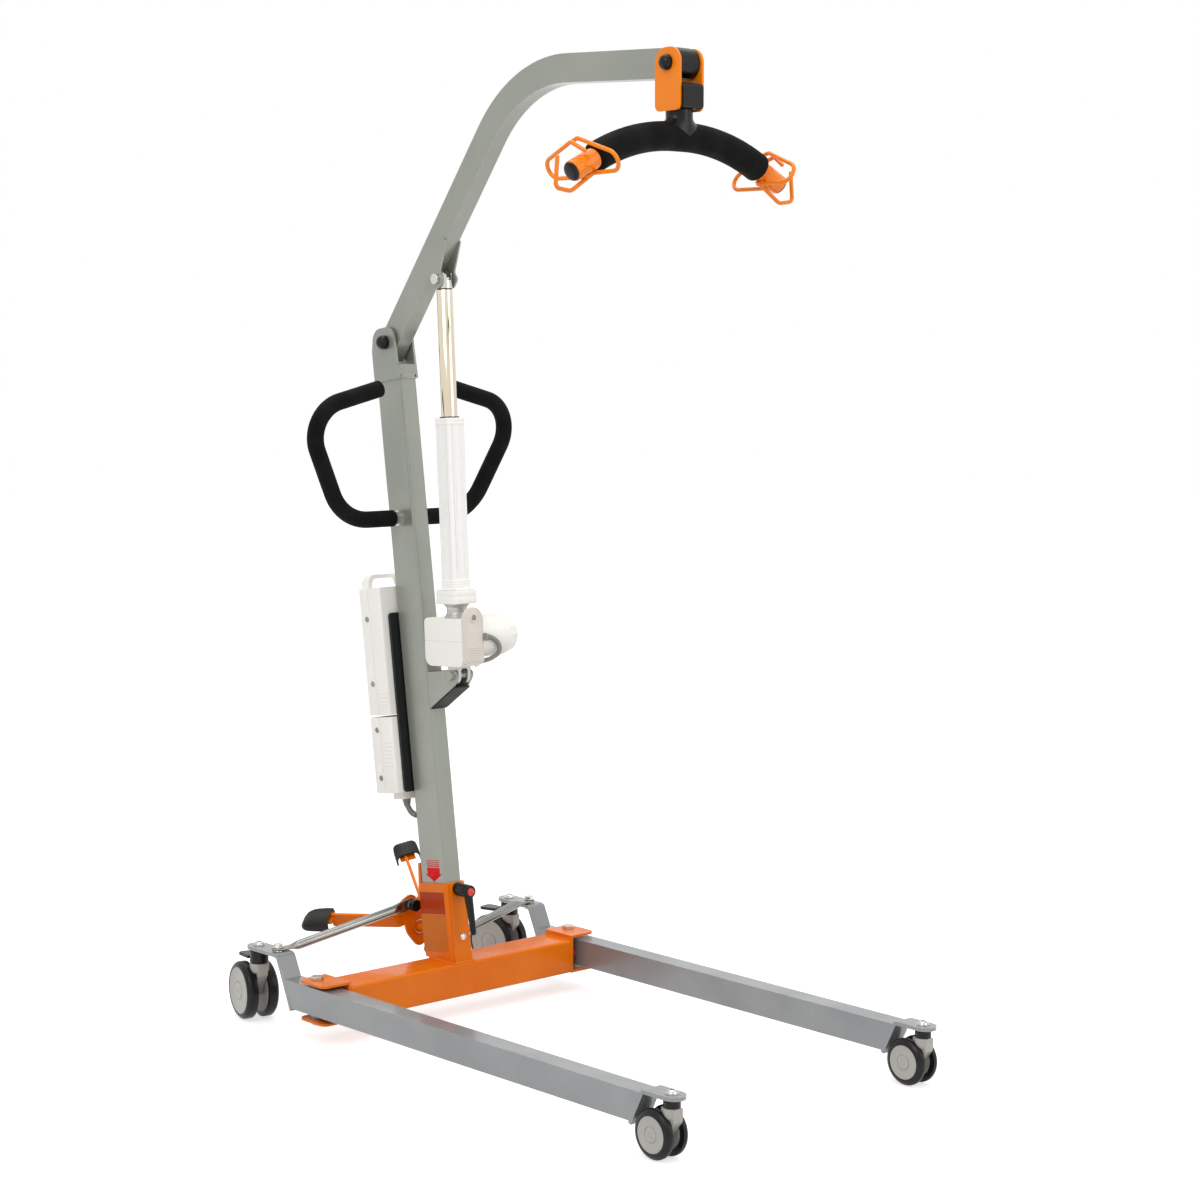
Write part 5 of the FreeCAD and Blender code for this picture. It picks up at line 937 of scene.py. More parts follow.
# %% Foam grips
RISE_END, FREE_END = 188.79, 229.47
grips = []
for _, side in SIDES:
    line = bend([(0, side * 26.5, 0), (0, side * 138.3, 0), (0, side * 233.1, RISE_END),
                 (0, side * 76.0, FREE_END)], (89, 59), 22)
    path, sizes = capsule(line, 14.5, 4.0, 7.5)
    grips.append(tube([path], HANDLE, 14.5, black_foam, 44, sizes))
piece("foam_grips", merged(grips, "grips"), "mast", black_foam, ["handle_grips"])
print("spreader and handle ready")

# %% [markdown]
# ## Actuator
# A linear actuator: a chromed rod in a square white housing, a collar, a cast neck, and a cream gear cover
# with its motor on the left. Covers of this kind are moulded in halves, so a fine dark joint runs round
# them; here two shells stand over a slightly smaller core.

# %% Housing with its grooves, rim and rod seal
def slab(points, radius, low, high, width=0.6, segments=2, place=None, steps=5):
    """A rounded slab with rolled edges, as an edited mesh in millimetres."""
    mesh = rolled(mesh_of(solid_of(rounded(points, radius, steps), low, high), "slab"), width, segments)
    bm = bmesh.new()
    bm.from_mesh(mesh)
    bpy.data.meshes.remove(mesh)
    if place:
        bm.transform(place)
    return bm


def around(x, y, wide, deep):
    """Corners of a rectangle about a point."""
    return [(x - wide / 2, y - deep / 2), (x + wide / 2, y - deep / 2),
            (x + wide / 2, y + deep / 2), (x - wide / 2, y + deep / 2)]


def grooved(half, radius, cuts, wide=1.7, deep=1.1):
    """The outline of an extruded square tube with fine grooves along each side."""
    outline = []
    for turn in range(4):
        way = Matrix.Rotation(math.radians(90 * turn), 2)
        side = []
        for k in range(5):
            a = math.radians(22.5 * k)
            side.append((half - radius + radius * math.sin(a), -(half - radius) - radius * math.cos(a)))
        for cut in cuts:
            side += [(half, cut - wide / 2), (half - deep, cut - wide / 2 + 0.25),
                     (half - deep, cut + wide / 2 - 0.25), (half, cut + wide / 2)]
        outline += [tuple(way @ Vector(point)) for point in side]
    return outline


housing = [solid_of(grooved(18.5, 5.0, (-10.5, -6.0, 6.0, 10.5)), 165, 431)]
# Each rim: how wide, its corners' radius, from and to along the housing, and how its edges are rolled.
HOUSING_RIMS = [(39.4, 6, 146.6, 152, 0.8, 2), (38.6, 6, 430.6, 434.6, 0.7, 2),
                (37.6, 5.6, 434.2, 436.4, 0.4, 2), (38.6, 6, 436.0, 442, 1.2, 3)]
HOUSING_RIMS += [(38.8, 5.8, 153.2 + 4.2 * k, 156.2 + 4.2 * k, 0.8, 2) for k in range(3)]
HOUSING_RIMS.append((37.2, 5.5, 150, 166, 0.3, 2))
for across, radius, low, high, width, segments in HOUSING_RIMS:
    housing.append(slab(around(0, 0, across, across), radius, low, high, width, segments))
piece("grooved_housing", mesh_of(joined(placed(housing, ACTUATOR)), "housing"), "actuator",
      housing_paint, ["actuator_tube"])
seal = spun([(13.75, 441.4), (17.2, 441.4), (17.4, 442.4), (16.6, 443.6), (15.0, 444.2), (13.9, 443.8)], 64)
piece("rod_seal", mesh_of(joined([(seal, ACTUATOR)]), "seal"), "actuator", black_rubber)

# %% Rod with its dark ring, and the silver fork on the boom
rod = spun([(0, 372), (13.7, 372), (13.7, 659.0), (13.2, 660.0), (0, 660.0)], 96, False)
band = spun([(11.0, 659.8), (12.9, 659.8), (12.9, 662.2), (11.0, 662.2)], 64)
piece("chromed_rod", mesh_of(joined([(rod, ACTUATOR)]), "rod"), "rod", rod_steel, ["piston_rod"])
piece("rod_band", mesh_of(joined([(band, ACTUATOR)]), "band"), "rod", black_plastic)

# %% Gear cover in two shells, arched end cover and collar
lower = [(-65, 16), (38, 16), (38, 58.6), (-65, 58.6)]
upper = [(-65, 59.6), (38, 59.6), (38, 99.3), (-65, 99.3)]
gear = [slab(lower, [16, 12, 0.5, 0.5], -22, 22, 2.6, 4, UP_Y, 8),
        slab(upper, [0.5, 0.5, 6, 9], -22, 22, 2.6, 4, UP_Y, 8),
        slab([(-64, 50), (37, 50), (37, 68), (-64, 68)], 1, -21, 21, 0.2, 1, UP_Y),
        slab(around(0, 0, 55, 55), 10, 123.6, 135.6, 2.2, 4),
        slab(around(0, 0, 53, 53), 9, 134, 138, 0.4),
        slab(around(0, 0, 54.4, 54.4), 10, 136.6, 146.4, 2.2, 4)]
outer_arch = rounded([(-22, 20), (22, 20), (22, 118), (-22, 118)], [7, 7, 21.6, 21.6], 12)
inner_arch = rounded([(-18.4, 24), (18.4, 24), (18.4, 114.4), (-18.4, 114.4)], [5, 5, 18.1, 18.1], 12)
arched = [slab(outer_arch, 0, 37.6, 43.0, 0.9, 3, FACE_X),
          slab(inner_arch, 0, 42.6, 44.2, 0.5, 2, FACE_X)]
for k in range(6):
    level = 27 + 4.2 * k
    rib = [(-13, level), (13, level), (13, level + 1.6), (-13, level + 1.6)]
    arched.append(slab(rib, 0.5, 43.8, 45.0, 0.3, 1, FACE_X))
eye = spun([(4.6, 43.8), (8.4, 43.8), (8.4, 45.4), (7.9, 45.9), (5.0, 45.9), (4.6, 45.4)], 40)
arched = placed(arched, ACTUATOR) + [(eye, ACTUATOR @ Matrix.Translation((0, 0, 100)) @ ALONG_X)]
piece("arch_cover", mesh_of(joined(arched), "arch"), "actuator", arch_grey, ["side_plate"])
piece("gear_shells", mesh_of(joined(placed(gear, ACTUATOR)), "gear"), "actuator", cream_plastic,
      ["gearbox_cover", "tube_collar"])
fixings("cover_screws", [((44.2, 0, 100), (1, 0, 0), 1.1)], ACTUATOR, cross_head, "actuator", dull_steel, 21)
fixings("collar_screws", [((x, y, 146.2), (0, 0, 1), 0.8) for x in (-20.5, 20.5) for y in (-20.5, 20.5)],
        ACTUATOR, cross_head, "actuator", bright_steel, 22)

# %% [markdown]
# The motor's shell is ribbed round its length and ends in a faceted cone, as a pressed or moulded cover.

# %% Motor
profile = [(0, 21), (35.2, 21)]
for k in range(16):
    y = 23.0 + 3.9 * k
    profile += [(35.3, y), (36.0, y + 0.5), (36.0, y + 2.6), (35.3, y + 3.1)]
profile += [(35.6, 85.4), (34.6, 86.2), (0, 86.2)]
shell = spun(profile, 72, False)
cone = spun([(0, 84), (35.4, 84), (35.4, 87.5), (30.5, 104.6), (28.6, 106.6), (14.0, 106.6), (13.2, 105.4),
             (0, 105.4)], 14, False)
flange = spun([(0, 21.6), (37.4, 21.6), (38.0, 22.4), (38.0, 25.2), (37.2, 26.0), (0, 26.0)], 72, False)
at = ACTUATOR @ Matrix.Translation((5, 0, 64.6)) @ ALONG_Y
piece("ribbed_motor", mesh_of(joined(placed([shell, cone, flange], at)), "motor", 22), "actuator",
      cream_plastic, ["motor_cover"])

# %% [markdown]
# ## Leads
# Both leads are short and stay as the engineering model lays them. Fine rings rib each of them along its
# length. A stepped strain relief grips both ends of the motor's lead and the top of the other.

# %% Ribbed leads and strain reliefs
def relief(place, radius, long):
    """A stepped, tapering rubber sleeve along +Z."""
    profile = [(0, -0.5), (radius + 3.2, -0.5), (radius + 3.2, 3.0)]
    steps = 5
    for k in range(steps):
        low = 3.0 + (long - 3.0) * k / steps
        wide = radius + 2.8 - 2.0 * k / steps
        profile += [(wide, low + 0.2), (wide, low + (long - 3.0) / steps * 0.62),
                    (wide - 1.1, low + (long - 3.0) / steps * 0.7), (wide - 1.1, low + (long - 3.0) / steps)]
    profile += [(radius + 0.2, long), (0, long)]
    return spun(profile, 28, False), place


def facing(place, at, way):
    """A place in a frame whose +Z looks along a direction."""
    return place @ Matrix.Translation(at) @ Vector(way).to_track_quat("Z", "Y").to_matrix().to_4x4()


def cord_line(points, steps=7):
    """Runs joined by arcs, each as large as the two runs at its corner allow."""
    corners = [Vector(p) for p in points]
    made = [corners[0]]
    for a, b, c in zip(corners, corners[1:], corners[2:]):
        reach = 0.45 * min((a - b).length, (c - b).length)
        turn = math.pi - (a - b).angle(c - b)
        made += bend([a, b, c], reach / math.tan(turn / 2), steps)[1:-1]
    return made + [corners[-1]]


side_y = 23.0
motor_path = cord_line([(46, side_y, 66), (46, side_y + 17, 63), (44.5, side_y + 31, 52),
                        (40, side_y + 37, 37), (29, side_y + 27, 26), (21, side_y + 12, 22),
                        (17, side_y, 20)])
start = Vector((-96.75 + 52, -16, 376.0))
control_path = cord_line([start, start + Vector((0, 0, -12)), start + Vector((8, 2, -26)),
                          Vector((-23.25, -13, start.z - 30))])
for name, line, place, body, radius, ends in (
        ("motor_lead", motor_path, ACTUATOR, "actuator", 3.5,
         (((46, side_y - 1, 66), (0, 1, -0.15), 13), ((17, side_y - 1, 20), (0.25, 1, 0.15), 11))),
        ("control_lead", control_path, MAST, "mast", 4.5, ((tuple(start), (0, 0, -1), 14),))):
    ribbed = grow(trail([line], place), ribs, Ring=(radius + 0.1) / 1000, Wire=0.0007, Step=0.0024,
                  Material=lead_grey)
    sleeves = [relief(facing(place, at, way), radius, long) for at, way, long in ends]
    piece(name + "_ribs", merged([ribbed, mesh_of(joined(sleeves), "relief")], name), body, lead_grey)

# %% [markdown]
# ## Battery and control box
# Two white cases hang on a dark plate behind the mast. Each is moulded in two halves with broad chamfers
# at the back, small screws, oval plugs and a few ribs; the battery has a wide carrying handle.

# %% Cases
def shells(low, high, seam, place, gap=0.0):
    """A case as front and rear shells with a dark joint, between two heights."""
    made = []
    rear_half = [(-96.75, -42), (-79.75, -50), (seam - 0.5, -50), (seam - 0.5, 50), (-79.75, 50),
                 (-96.75, 42)]
    front_half = [(seam + 0.5, -50), (-26.75 - gap, -50), (-26.75 - gap, 50), (seam + 0.5, 50)]
    core = [(-94, -40), (-79, -48.6), (-28, -48.6), (-28, 48.6), (-79, 48.6), (-94, 40)]
    made.append((slab(rear_half, [9, 9, 0.3, 0.3, 9, 9], low, high, 2.6, 4, None, 6), place))
    made.append((slab(front_half, [0.3, 5, 5, 0.3], low, high, 2.0, 3, None, 6), place))
    made.append((slab(core, 5, low + 1.6, high - 1.6, 0.3, 1), place))
    return made


SEAM = -60.0
battery = shells(527, 751, SEAM, MAST, 0.3)
control = shells(389, 523, SEAM, MAST)
OUT = {-1: Matrix(((1, 0, 0, 0), (0, 0, -1, -50), (0, 1, 0, 0), (0, 0, 0, 1))),
       1: Matrix(((-1, 0, 0, 0), (0, 0, 1, 50), (0, 1, 0, 0), (0, 0, 0, 1)))}
for parts, low, count, pitch in ((battery, 546, 4, 6.4), (control, 438, 7, 6.8)):
    for k in range(count):
        for side in (-1, 1):
            rib = slab(around(40 * side, low + pitch * k, 22, 2.4), 1.0, -0.4, 1.1, 0.4, 1, None, 4)
            parts.append((rib, MAST @ OUT[side]))
arch_out = rounded([(-44, 746), (44, 746), (36, 775), (-36, 775)], [0.5, 0.5, 15, 15], 8)
arch_in = rounded([(-35, 744), (35, 744), (29.5, 768.5), (-29.5, 768.5)], [0.5, 0.5, 9, 9], 8)
bar = bmesh.new()
rim = [[bar.verts.new((x, y, z)) for y, z in outline] for x, outline in
       ((-87.75, arch_out), (-67.75, arch_out), (-67.75, arch_in), (-87.75, arch_in))]
for ring, following in zip(rim, rim[1:] + rim[:1]):
    for k in range(len(ring)):
        n = (k + 1) % len(ring)
        bar.faces.new((ring[k], ring[n], following[n], following[k]))
bmesh.ops.recalc_face_normals(bar, faces=bar.faces)
handle = mesh_of(joined([(bar, MAST)]), "handle")
control.append((slab(around(-50.75, -13, 30, 34), 3.5, 376, 389.5, 1.2, 3), MAST))
piece("battery_shells", merged([mesh_of(joined(battery), "battery"), rolled(handle, 0.0022, 3)], "battery"),
      "battery", box_plastic, ["battery_case"])
piece("control_shells", mesh_of(joined(control), "control"), "mast", box_plastic, ["control_box"])

# %% Their screws, in shallow cups, and oval plugs
def outward(side):
    """Turns the spin axis from +Z to the outside of the right or the left."""
    return Matrix.Rotation(math.radians(-90 * side), 4, "X")


def cups(name, heights, body, seed):
    """Screws on both sides of a case, each in a ring."""
    spots = [((-67, 50.3 * side, z), (0, side, 0), 1.25) for z in heights for side in (-1, 1)]
    fixings(name, spots, MAST, cross_head, body, dull_steel, seed)
    rings = [(spun([(4.8, 0), (7.6, 0), (7.4, 0.5), (5.4, 0.9), (4.8, 0.5)], 28),
              MAST @ Matrix.Translation((-67, 49.9 * side, z)) @ outward(side))
             for z in heights for side in (-1, 1)]
    piece(name + "_cups", mesh_of(joined(rings), name), body, box_plastic)


cups("battery_screws", (697, 582.6), "battery", 31)
cups("control_screws", (501, 416), "mast", 32)
for name, z, body in (("battery_plugs", 602.7, "battery"), ("control_plugs", 430.7, "mast")):
    ovals = [(slab(around(71 * side, z, 7, 13), 3.2, -0.3, 0.7, 0.3, 1), MAST @ OUT[side])
             for side in (-1, 1)]
    piece(name, mesh_of(joined(ovals), name), body, housing_paint)
print("actuator, leads and cases ready")

# %% [markdown]
# ## Pedal, push rods and clamp
# Pressing one pad swings a rocker plate, and two rods carry that to the rear straps, which spreads the
# legs. Each rod is a zinc-plated tube whose ends are pressed flat, so its section changes along its
# length: here rings with a changing section are set along a bent path.

# %% Rods with flattened ends
def ringed(rings, name, smooth=45.0):
    """A closed skin over rings of points, with flat ends, in metres."""
    bm = bmesh.new()
    rows = [[bm.verts.new(MM @ Vector(point)) for point in ring] for ring in rings]
    for row, following in zip(rows, rows[1:]):
        for k in range(len(row)):
            n = (k + 1) % len(row)
            bm.faces.new((row[k], row[n], following[n], following[k]))
    bm.faces.new(rows[0])
    bm.faces.new(list(reversed(rows[-1])))
    bmesh.ops.recalc_face_normals(bm, faces=bm.faces)
    return mesh_of(bm, name, smooth)


def blended(value, low, high):
    """A smooth step from 0 at one value to 1 at another."""
    part = min(1.0, max(0.0, (value - low) / (high - low)))
    return part * part * (3 - 2 * part)


def flat_rod(name, tie, stud):
    """A tube from a level flat at the tie bolt to an upright flat at the stud."""
    tie, stud = Vector(tie), Vector(stud)
    along = stud - tie
    level = Vector((along.x, along.y, 0)).normalized()
    upright = Vector((0, along.y, along.z)).normalized()
    path = bend([tie - level * 11, tie + level * 30, stud - upright * 22, stud + upright * 10], 60, 10)
    marks, points = [0.0], [path[0]]
    for a, b in zip(path, path[1:]):
        pieces = max(1, int((b - a).length / 4))
        for k in range(pieces):
            points.append(a.lerp(b, (k + 1) / pieces))
            marks.append(marks[-1] + (b - a).length / pieces)
    total = marks[-1]
    rings = []
    fine = [0.15, 1.0, 2.5, 5.0, 8.0]
    stations = fine + [m for m in marks if 9 < m < total - 9] + [total - m for m in reversed(fine)]
    for mark in stations:
        k = max(i for i in range(len(marks) - 1) if marks[i] <= mark)
        at = points[k].lerp(points[k + 1], (mark - marks[k]) / (marks[k + 1] - marks[k]))
        ahead = (points[k + 1] - points[k]).normalized()
        across = ahead.cross(Vector((0, 0, 1))).normalized()
        up = across.cross(ahead)
        outer = 1 - blended(mark, 32, 50)
        inner = blended(mark, total - 50, total - 32)
        wide = 8 + 3 * outer - 6 * inner
        tall = 8 - 6 * outer + 2.2 * inner
        if mark < 11:
            wide *= math.sqrt(1 - (1 - mark / 11) ** 2)
        if total - mark < 10:
            tall *= math.sqrt(1 - (1 - (total - mark) / 10) ** 2)
        power = 1 - 0.45 * max(outer, inner)
        ring = []
        for turn in range(32):
            c, s = math.cos(math.tau * turn / 32), math.sin(math.tau * turn / 32)
            ring.append(at + across * (wide * math.copysign(abs(c) ** power, c))
                        + up * (tall * math.copysign(abs(s) ** power, s)))
        rings.append(ring)
    mesh = ringed(rings, name)
    mesh.transform(Matrix.Translation((FOOT_BACK / 1000, 0, 0)))
    return mesh


TIE_Y, TIE_Z, STUD_X = 280.98, 136.1, -75.0
for label, side in SIDES:
    stud = (STUD_X, side * 21.04, PEDAL_LEVEL + 43.14 * -side + 2.43)
    rod_mesh = flat_rod("rod", (TIE_BACK, side * TIE_Y, TIE_Z), stud)
    piece("push_tube_" + label, rod_mesh, "push_rod_" + label, dull_steel, ["push_rod_" + label])

# %% Caps and rings on the rocker
STUD_LEVELS = (-48, 48)                                   # along the rocker, from its shaft
fixings("rocker_caps", [((-71.5, 0, z), (1, 0, 0), 0.70) for z in STUD_LEVELS], PEDAL, knob_head, "pedal",
        black_plastic, 41)
ring_parts = [(spun([(8.6, 0), (9.9, 0), (9.9, 1.4), (8.6, 1.4)], 40),
               PEDAL @ Matrix.Translation((-72.6, 0, z)) @ ALONG_X) for z in STUD_LEVELS]
ring_parts.append((spun([(11.2, 0), (12.4, 0), (12.4, 1.0), (11.2, 1.0)], 48),
                   PEDAL @ Matrix.Translation((-81.0, 0, 0)) @ ALONG_X))
piece("rocker_rings", mesh_of(joined(ring_parts), "rings"), "pedal", bright_steel)

# %% [markdown]
# The pads are hoods of black rubber over the ends of the arms: crowned, falling to the outer end, open
# at the inner end, and covered with small studs for grip. A hood is a grid over a footprint whose height
# follows a curve, given a wall; the studs are set out on the same surface and placed by a tree.

# %% Studded pads
PAD_LONG, PAD_HALF, PAD_TALL = 56.0, 23.0, 22.0


def pad_point(along, turn):
    """A point of the hood: along it from 0 to 1, and round its section from 0 to pi."""
    height = PAD_TALL * max(0.0, 1 - along ** 2.6) ** 0.62
    half = PAD_HALF * max(0.0, 1 - (along * 0.985) ** 7) ** 0.5
    c, s = math.cos(turn), math.sin(turn)
    return Vector((PAD_LONG * along, half * math.copysign(abs(c) ** 0.55, c), height * abs(s) ** 0.62))


def pad_place(side):
    """The pad's frame on its sloping arm: along the arm, across it, and up."""
    turn = math.radians(57.35)
    along = Vector((-math.sin(turn), side * math.cos(turn), 0.262 * math.sin(turn))).normalized()
    up = Vector((0.262, 0, 1)).normalized()
    across = up.cross(along)
    axes = Matrix((along, across, up)).transposed().to_4x4()
    return PEDAL @ Matrix.Translation((-192, side * 97, 51.2)) @ axes


stud_head = head_object("pad_stud", [(spun([(0, -0.2), (1.15, -0.2), (0.95, 0.55), (0.5, 0.85), (0, 0.95)], 8,
                                           False), MM)], 0.0)
hoods, pad_spots = [], []
for _, side in SIDES:
    place = pad_place(side)
    bm = bmesh.new()
    rows = [[bm.verts.new(place @ pad_point(min(1.0, (k / 22) ** 0.85) * 0.995, math.pi * t / 28))
             for t in range(29)] for k in range(23)]
    for row, following in zip(rows, rows[1:]):
        for t in range(28):
            bm.faces.new((row[t], row[t + 1], following[t + 1], following[t]))
    bm.faces.new(list(reversed(rows[-1])))
    bmesh.ops.recalc_face_normals(bm, faces=bm.faces)
    hood = bpy.data.objects.new("hood", mesh_of(bm, "hood", 60))
    scene.collection.objects.link(hood)
    wall = hood.modifiers.new("wall", "SOLIDIFY")
    wall.thickness = 0.003
    wall.offset = -1.0
    hoods.append(finished(hood))
    for k in range(12):
        for t in range(15):
            share = 0.03 + 0.072 * k
            turn = math.pi * (0.14 + 0.72 * (t + 0.5 * (k % 2)) / 15)
            at = pad_point(share, turn)
            ahead = pad_point(share + 0.01, turn) - at
            over = pad_point(share, turn + 0.01) - at
            facing_out = ahead.cross(over).normalized()
            if facing_out.z < 0:
                facing_out.negate()
            pad_spots.append((MM.inverted() @ (place @ at), place.to_3x3() @ facing_out, 1.0))
piece("pad_hoods", merged(hoods, "hoods"), "pedal", black_rubber, ["pedal_pads"])
fixings("pad_studs", pad_spots, MM, stud_head, "pedal", black_rubber, 42)

# %% Clamp lever with its red button
arm = [(55.5, 0, 224), (58.0, 0, 212), (60.5, 0, 200), (63.6, 0, 186), (66.8, 0, 172), (69.8, 0, 158),
       (71.2, 0, 151.5), (71.8, 0, 148.6), (72.2, 0, 147.0)]
arm_sizes = [1.12, 1.10, 1.0, 0.92, 0.84, 0.76, 0.70, 0.55, 0.18]
lever = tube([arm], HOIST, 6.9, black_plastic, 36, arm_sizes)
AT_CLAMP = HOIST @ Matrix.Translation((0, 0, 222)) @ ALONG_X
hub = spun([(0, 20), (8.6, 20), (8.6, 24.5), (11.0, 25.5), (11.5, 27.0), (11.5, 62.0), (10.9, 63.6),
            (9.6, 64.2), (7.0, 64.2), (7.0, 63.4), (0, 63.4)], 64, False)
piece("clamp_handle", merged([lever, mesh_of(joined([(hub, AT_CLAMP)]), "hub")], "clamp"), "clamp",
      black_plastic, ["clamp_lever"])
button = spun([(0, 63.0), (7.2, 63.0), (7.2, 64.2), (6.6, 65.2), (4.8, 66.0), (0, 66.4)], 48, False)
piece("clamp_button", mesh_of(joined([(button, AT_CLAMP)]), "button"), "clamp", red_plastic)

# %% [markdown]
# ## Welds, bolts and marks
# Welded joints show a rippled bead, laid here by the bead tree along each seam. The lower mast carries a
# plain red arrow that points into its socket, and the socket has two shallow panels on each side, painted
# a darker and a lighter orange as a painted reflection.

# %% Beads along the seams
def beads(name, paths, place, body, material, radius, seed):
    """A rippled bead along each of several seams of a body."""
    mesh = grow(trail(paths, place), bead, Radius=radius / 1000, Step=radius * 0.00085, Seed=seed,
                Material=material)
    return piece(name, mesh, body, material)


socket_foot = []
for _, side in SIDES:
    socket_foot.append([(-23, side * 22.4, 95.2), (0, side * 22.4, 95.2), (44.6, side * 22.4, 95.2)])
socket_foot.append([(45.4, -21, 95.2), (45.4, 21, 95.2)])
beads("socket_beads", socket_foot, HOIST, "base", orange_paint, 2.0, 6)
web = abs(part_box("leg_stops")[1][1] * 1000) - 15.8
bracket_seams = [[(-22, side * web, 95.3), (20, side * web, 95.3), (46, side * web, 95.3)]
                 for _, side in SIDES]
bracket_seams += [[(48.3, side * web, 38), (48.3, side * web, 92)] for _, side in SIDES]
beads("bracket_beads", bracket_seams, HOIST, "base", orange_paint, 1.6, 7)
cheek_seams = [[(-20, side * 17.9, 1110), (47, side * 17.9, 1110)] for _, side in SIDES]
cheek_seams.append([(48.5, -17, 1110), (48.5, 17, 1110)])
beads("head_beads", cheek_seams, MAST, "mast", grey_paint, 1.3, 8)
beads("bracket_foot_beads", [[(48.6, side * 13.0, 535), (48.6, side * 13.0, 594)] for _, side in SIDES], MAST,
      "mast", grey_paint, 1.3, 9)

# %% The arrow, the socket's panels with their painted reflection, its screw, and the handle's rings
MAST_HALF = 17.5                                          # half the mast's width
shapes = [[(16, 230.0), (39.5, 243.5), (33.5, 243.5), (33.5, 254.5), (-1.5, 254.5), (-1.5, 243.5),
           (-7.5, 243.5)]]
for low, high in ((256.4, 258.4), (260.2, 261.8), (263.6, 264.9), (266.8, 267.8)):
    shapes.append([(-1.5, low), (33.5, low), (33.5, high), (-1.5, high)])
arrow = [slab(shape, 0, MAST_HALF - 0.05, MAST_HALF + 0.25, 0.05, 1, UP_Y) for shape in shapes]
piece("mast_arrow", mesh_of(joined(placed(arrow, MAST)), "arrow"), "mast", arrow_red)
# The upper panel's darker orange and the lower panel's lighter orange are painted reflections on the socket's
# glossy sides.
for name, low, high, material in (("upper", 174, 212, dark_reflection_orange), ("lower", 108, 173, light_reflection_orange)):
    shape = [(-23.5, low), (44.5, low), (44.5, high), (-23.5, high)]
    panels = [(slab(shape, 1.0, 21.8, 22.5, 0.25, 1, way), MAST) for way in (UP_Y, MIRROR_Y @ UP_Y)]
    piece("socket_panel_" + name, mesh_of(joined(panels), "panel"), "base", material)
fixings("socket_screw", [((57.7, 2.4, 132), (1, 0, 0), 1.6)], MAST, cross_head, "base", bright_steel, 43)
collars = [(spun([(11.2, 0), (13.4, 0), (13.6, 0.6), (13.4, 1.4), (11.2, 1.4)], 48),
            HANDLE @ Matrix.Translation((0, side * MAST_HALF, 0)) @ outward(side))
           for _, side in SIDES]
piece("handle_rings", mesh_of(joined(collars), "rings"), "mast", bright_steel)

# %% Domed pins, and a black strip of painted shade on the channel under the actuator's foot
def turned_pin(name, half, inside, place, body, replaced):
    """A pin with a black domed knob on each end, on the cross axis of a frame."""
    end = [(0, half), (4.2, half - 0.3), (8.0, half - 2.0), (10.8, half - 5.0), (12.0, half - 9.0),
           (12.0, inside + 0.8), (11.4, inside), (6.0, inside)]
    profile = end + [(radius, -along) for radius, along in reversed(end)]
    mesh = mesh_of(joined([(spun(profile, 56, False), place @ ALONG_Y)]), name)
    piece(name, mesh, body, black_plastic, [replaced])


turned_pin("hanger_knobs", 38.3, 25.8, HANGER, "boom", "hanger_pin")
turned_pin("head_knobs", 37.8, 21.8, MAST @ Matrix.Translation((19, 0, 1176)), "mast", "head_pin")
foot = MAST.inverted() @ ACTUATOR.translation
low, high = Vector((49.5, foot.z - 53.2)), Vector((foot.x + 4.0, foot.z - 19.0))
off = Vector(((high - low).y, -(high - low).x)).normalized()
strip = [low + off * 0.4, high + off * 0.4, high + off * 3.2, low + off * 3.2]
# A black strip on the channel's slanted face: painted shade, where the face only lies in shadow.
channel = slab([tuple(corner) for corner in strip], 0.8, -16.8, 16.8, 0.4, 1, UP_Y)
piece("foot_channel", mesh_of(joined([(channel, MAST)]), "channel"), "mast", black_rubber)
print("pedal, rods, clamp, welds and marks ready")

# %% [markdown]
# ## Floor, light and camera
# The hoist stands in a plain white studio. The world shows pure white to the camera, to glossy metal and
# to glass, and a softer grey everywhere else, so that colours stay as they were mixed. The floor is as
# white as the backdrop but keeps the soft shadow under the wheels.

# %% White floor and backdrop
FLOOR_WHITE = 0.62                                        # how much it reflects, and glows where seen
AMBIENT = 0.74                                            # the world's light on what stands in it


def seen_directly(tree):
    """1 for the rays that look at the studio: from the camera, off a mirror or through glass."""
    rays = node(tree, "ShaderNodeLightPath")
    seen = maths(tree, "MAXIMUM", rays.outputs["Is Camera Ray"], rays.outputs["Is Glossy Ray"])
    return maths(tree, "MAXIMUM", seen, rays.outputs["Is Transmission Ray"])


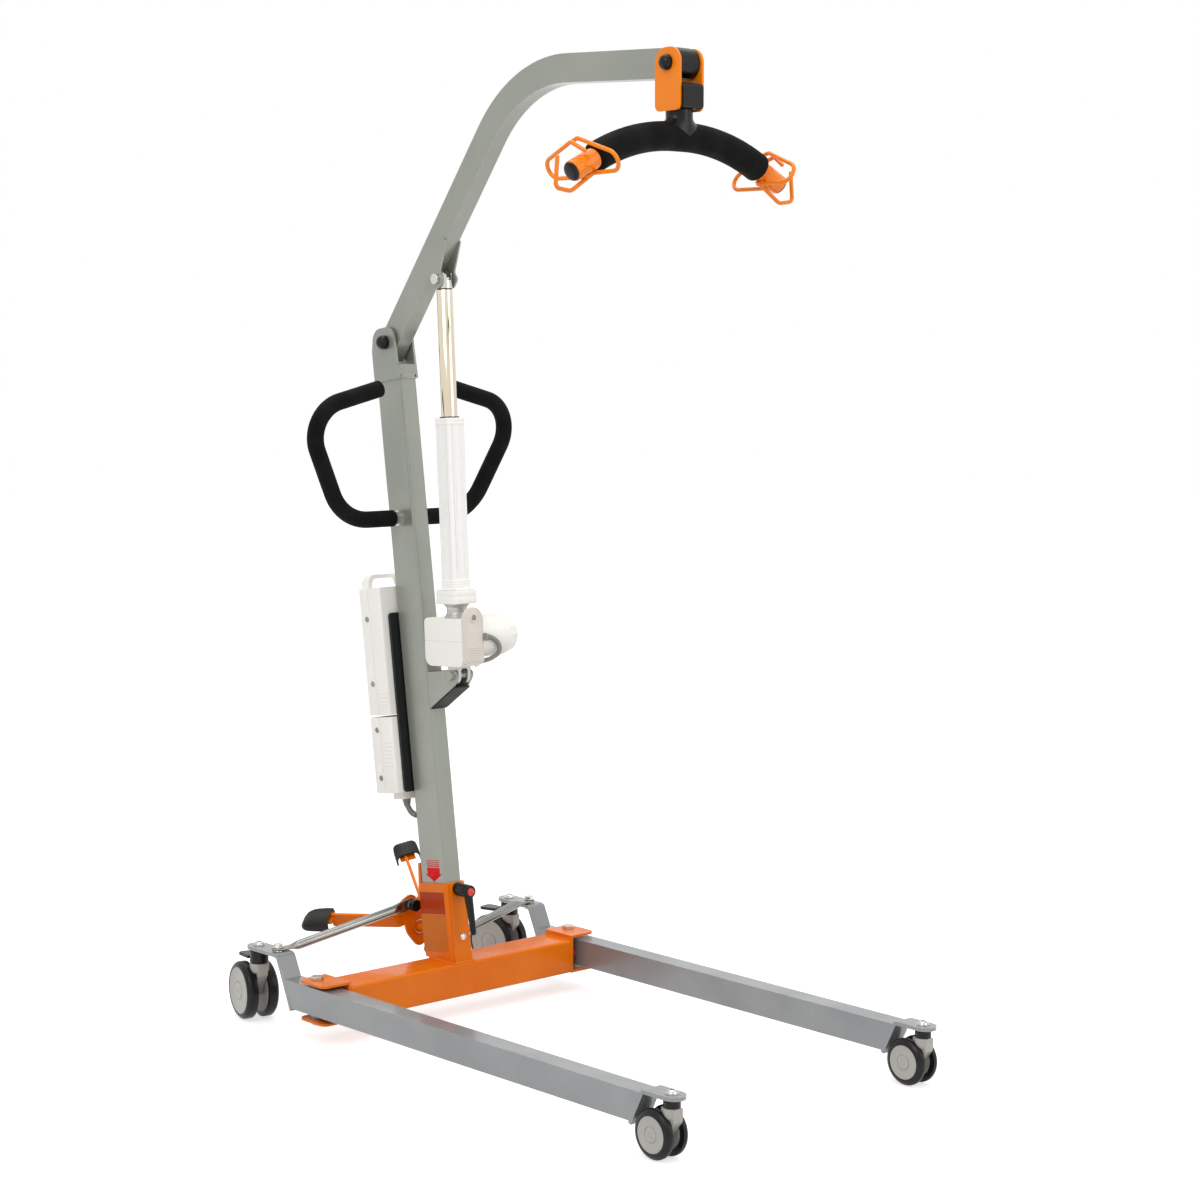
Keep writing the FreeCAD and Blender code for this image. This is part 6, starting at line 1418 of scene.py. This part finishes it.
def studio_white():
    """White to the camera, with the shadow of what stands on it."""
    material = bpy.data.materials.new("studio_white")
    material.use_nodes = True
    tree = material.node_tree
    shader = tree.nodes["Principled BSDF"]
    shader.inputs["Base Color"].default_value = (FLOOR_WHITE, FLOOR_WHITE, FLOOR_WHITE, 1)
    shader.inputs["Roughness"].default_value = 0.9
    shader.inputs["Emission Color"].default_value = (1, 1, 1, 1)
    glow = maths(tree, "MULTIPLY", seen_directly(tree), FLOOR_WHITE)
    tree.links.new(glow, shader.inputs["Emission Strength"])
    return material


bm = bmesh.new()
bmesh.ops.create_grid(bm, x_segments=1, y_segments=1, size=14)
floor_mesh = bpy.data.meshes.new("floor")
bm.to_mesh(floor_mesh)
bm.free()
floor = bpy.data.objects.new("studio_floor", floor_mesh)
floor.location.z = -0.0005
scene.collection.objects.link(floor)
floor.data.materials.append(studio_white())

world = bpy.data.worlds.new("studio")
scene.world = world
world.use_nodes = True
tree = world.node_tree
backdrop = tree.nodes["Background"]
strength = maths(tree, "ADD", AMBIENT, maths(tree, "MULTIPLY", seen_directly(tree), 1.0 - AMBIENT))
tree.links.new(strength, backdrop.inputs["Strength"])
backdrop.inputs["Color"].default_value = (1, 1, 1, 1)

# %% Softboxes
def softbox(name, place, aim, size, power):
    """A large area lamp that looks at a point."""
    lamp = bpy.data.lights.new(name, "AREA")
    lamp.shape = "RECTANGLE"
    lamp.size, lamp.size_y = size
    lamp.energy = power
    holder = bpy.data.objects.new(name, lamp)
    holder.location = place
    holder.rotation_euler = (Vector(aim) - Vector(place)).to_track_quat("-Z", "Y").to_euler()
    scene.collection.objects.link(holder)


softbox("key", (1.2, -3.4, 3.6), (0, 0, 0.7), (2.4, 2.4), 52)
softbox("fill", (3.4, 1.2, 2.2), (0, 0, 0.8), (2.0, 2.6), 26)
softbox("top", (-0.6, 0.6, 4.4), (0, 0, 0.4), (3.0, 3.0), 52)

# %% Camera
lens = bpy.data.cameras.new("camera")
lens.lens = 74.25
lens.sensor_width = 36.0
lens.clip_end = 60.0
camera = bpy.data.objects.new("camera", lens)
camera.location = (3.0283, -2.650, 1.145)
camera.rotation_euler = (math.radians(84.36), 0.0, math.radians(48.0))
scene.collection.objects.link(camera)
scene.camera = camera
scene.view_settings.view_transform = "Standard"
print("camera", tuple(round(v, 3) for v in camera.location))
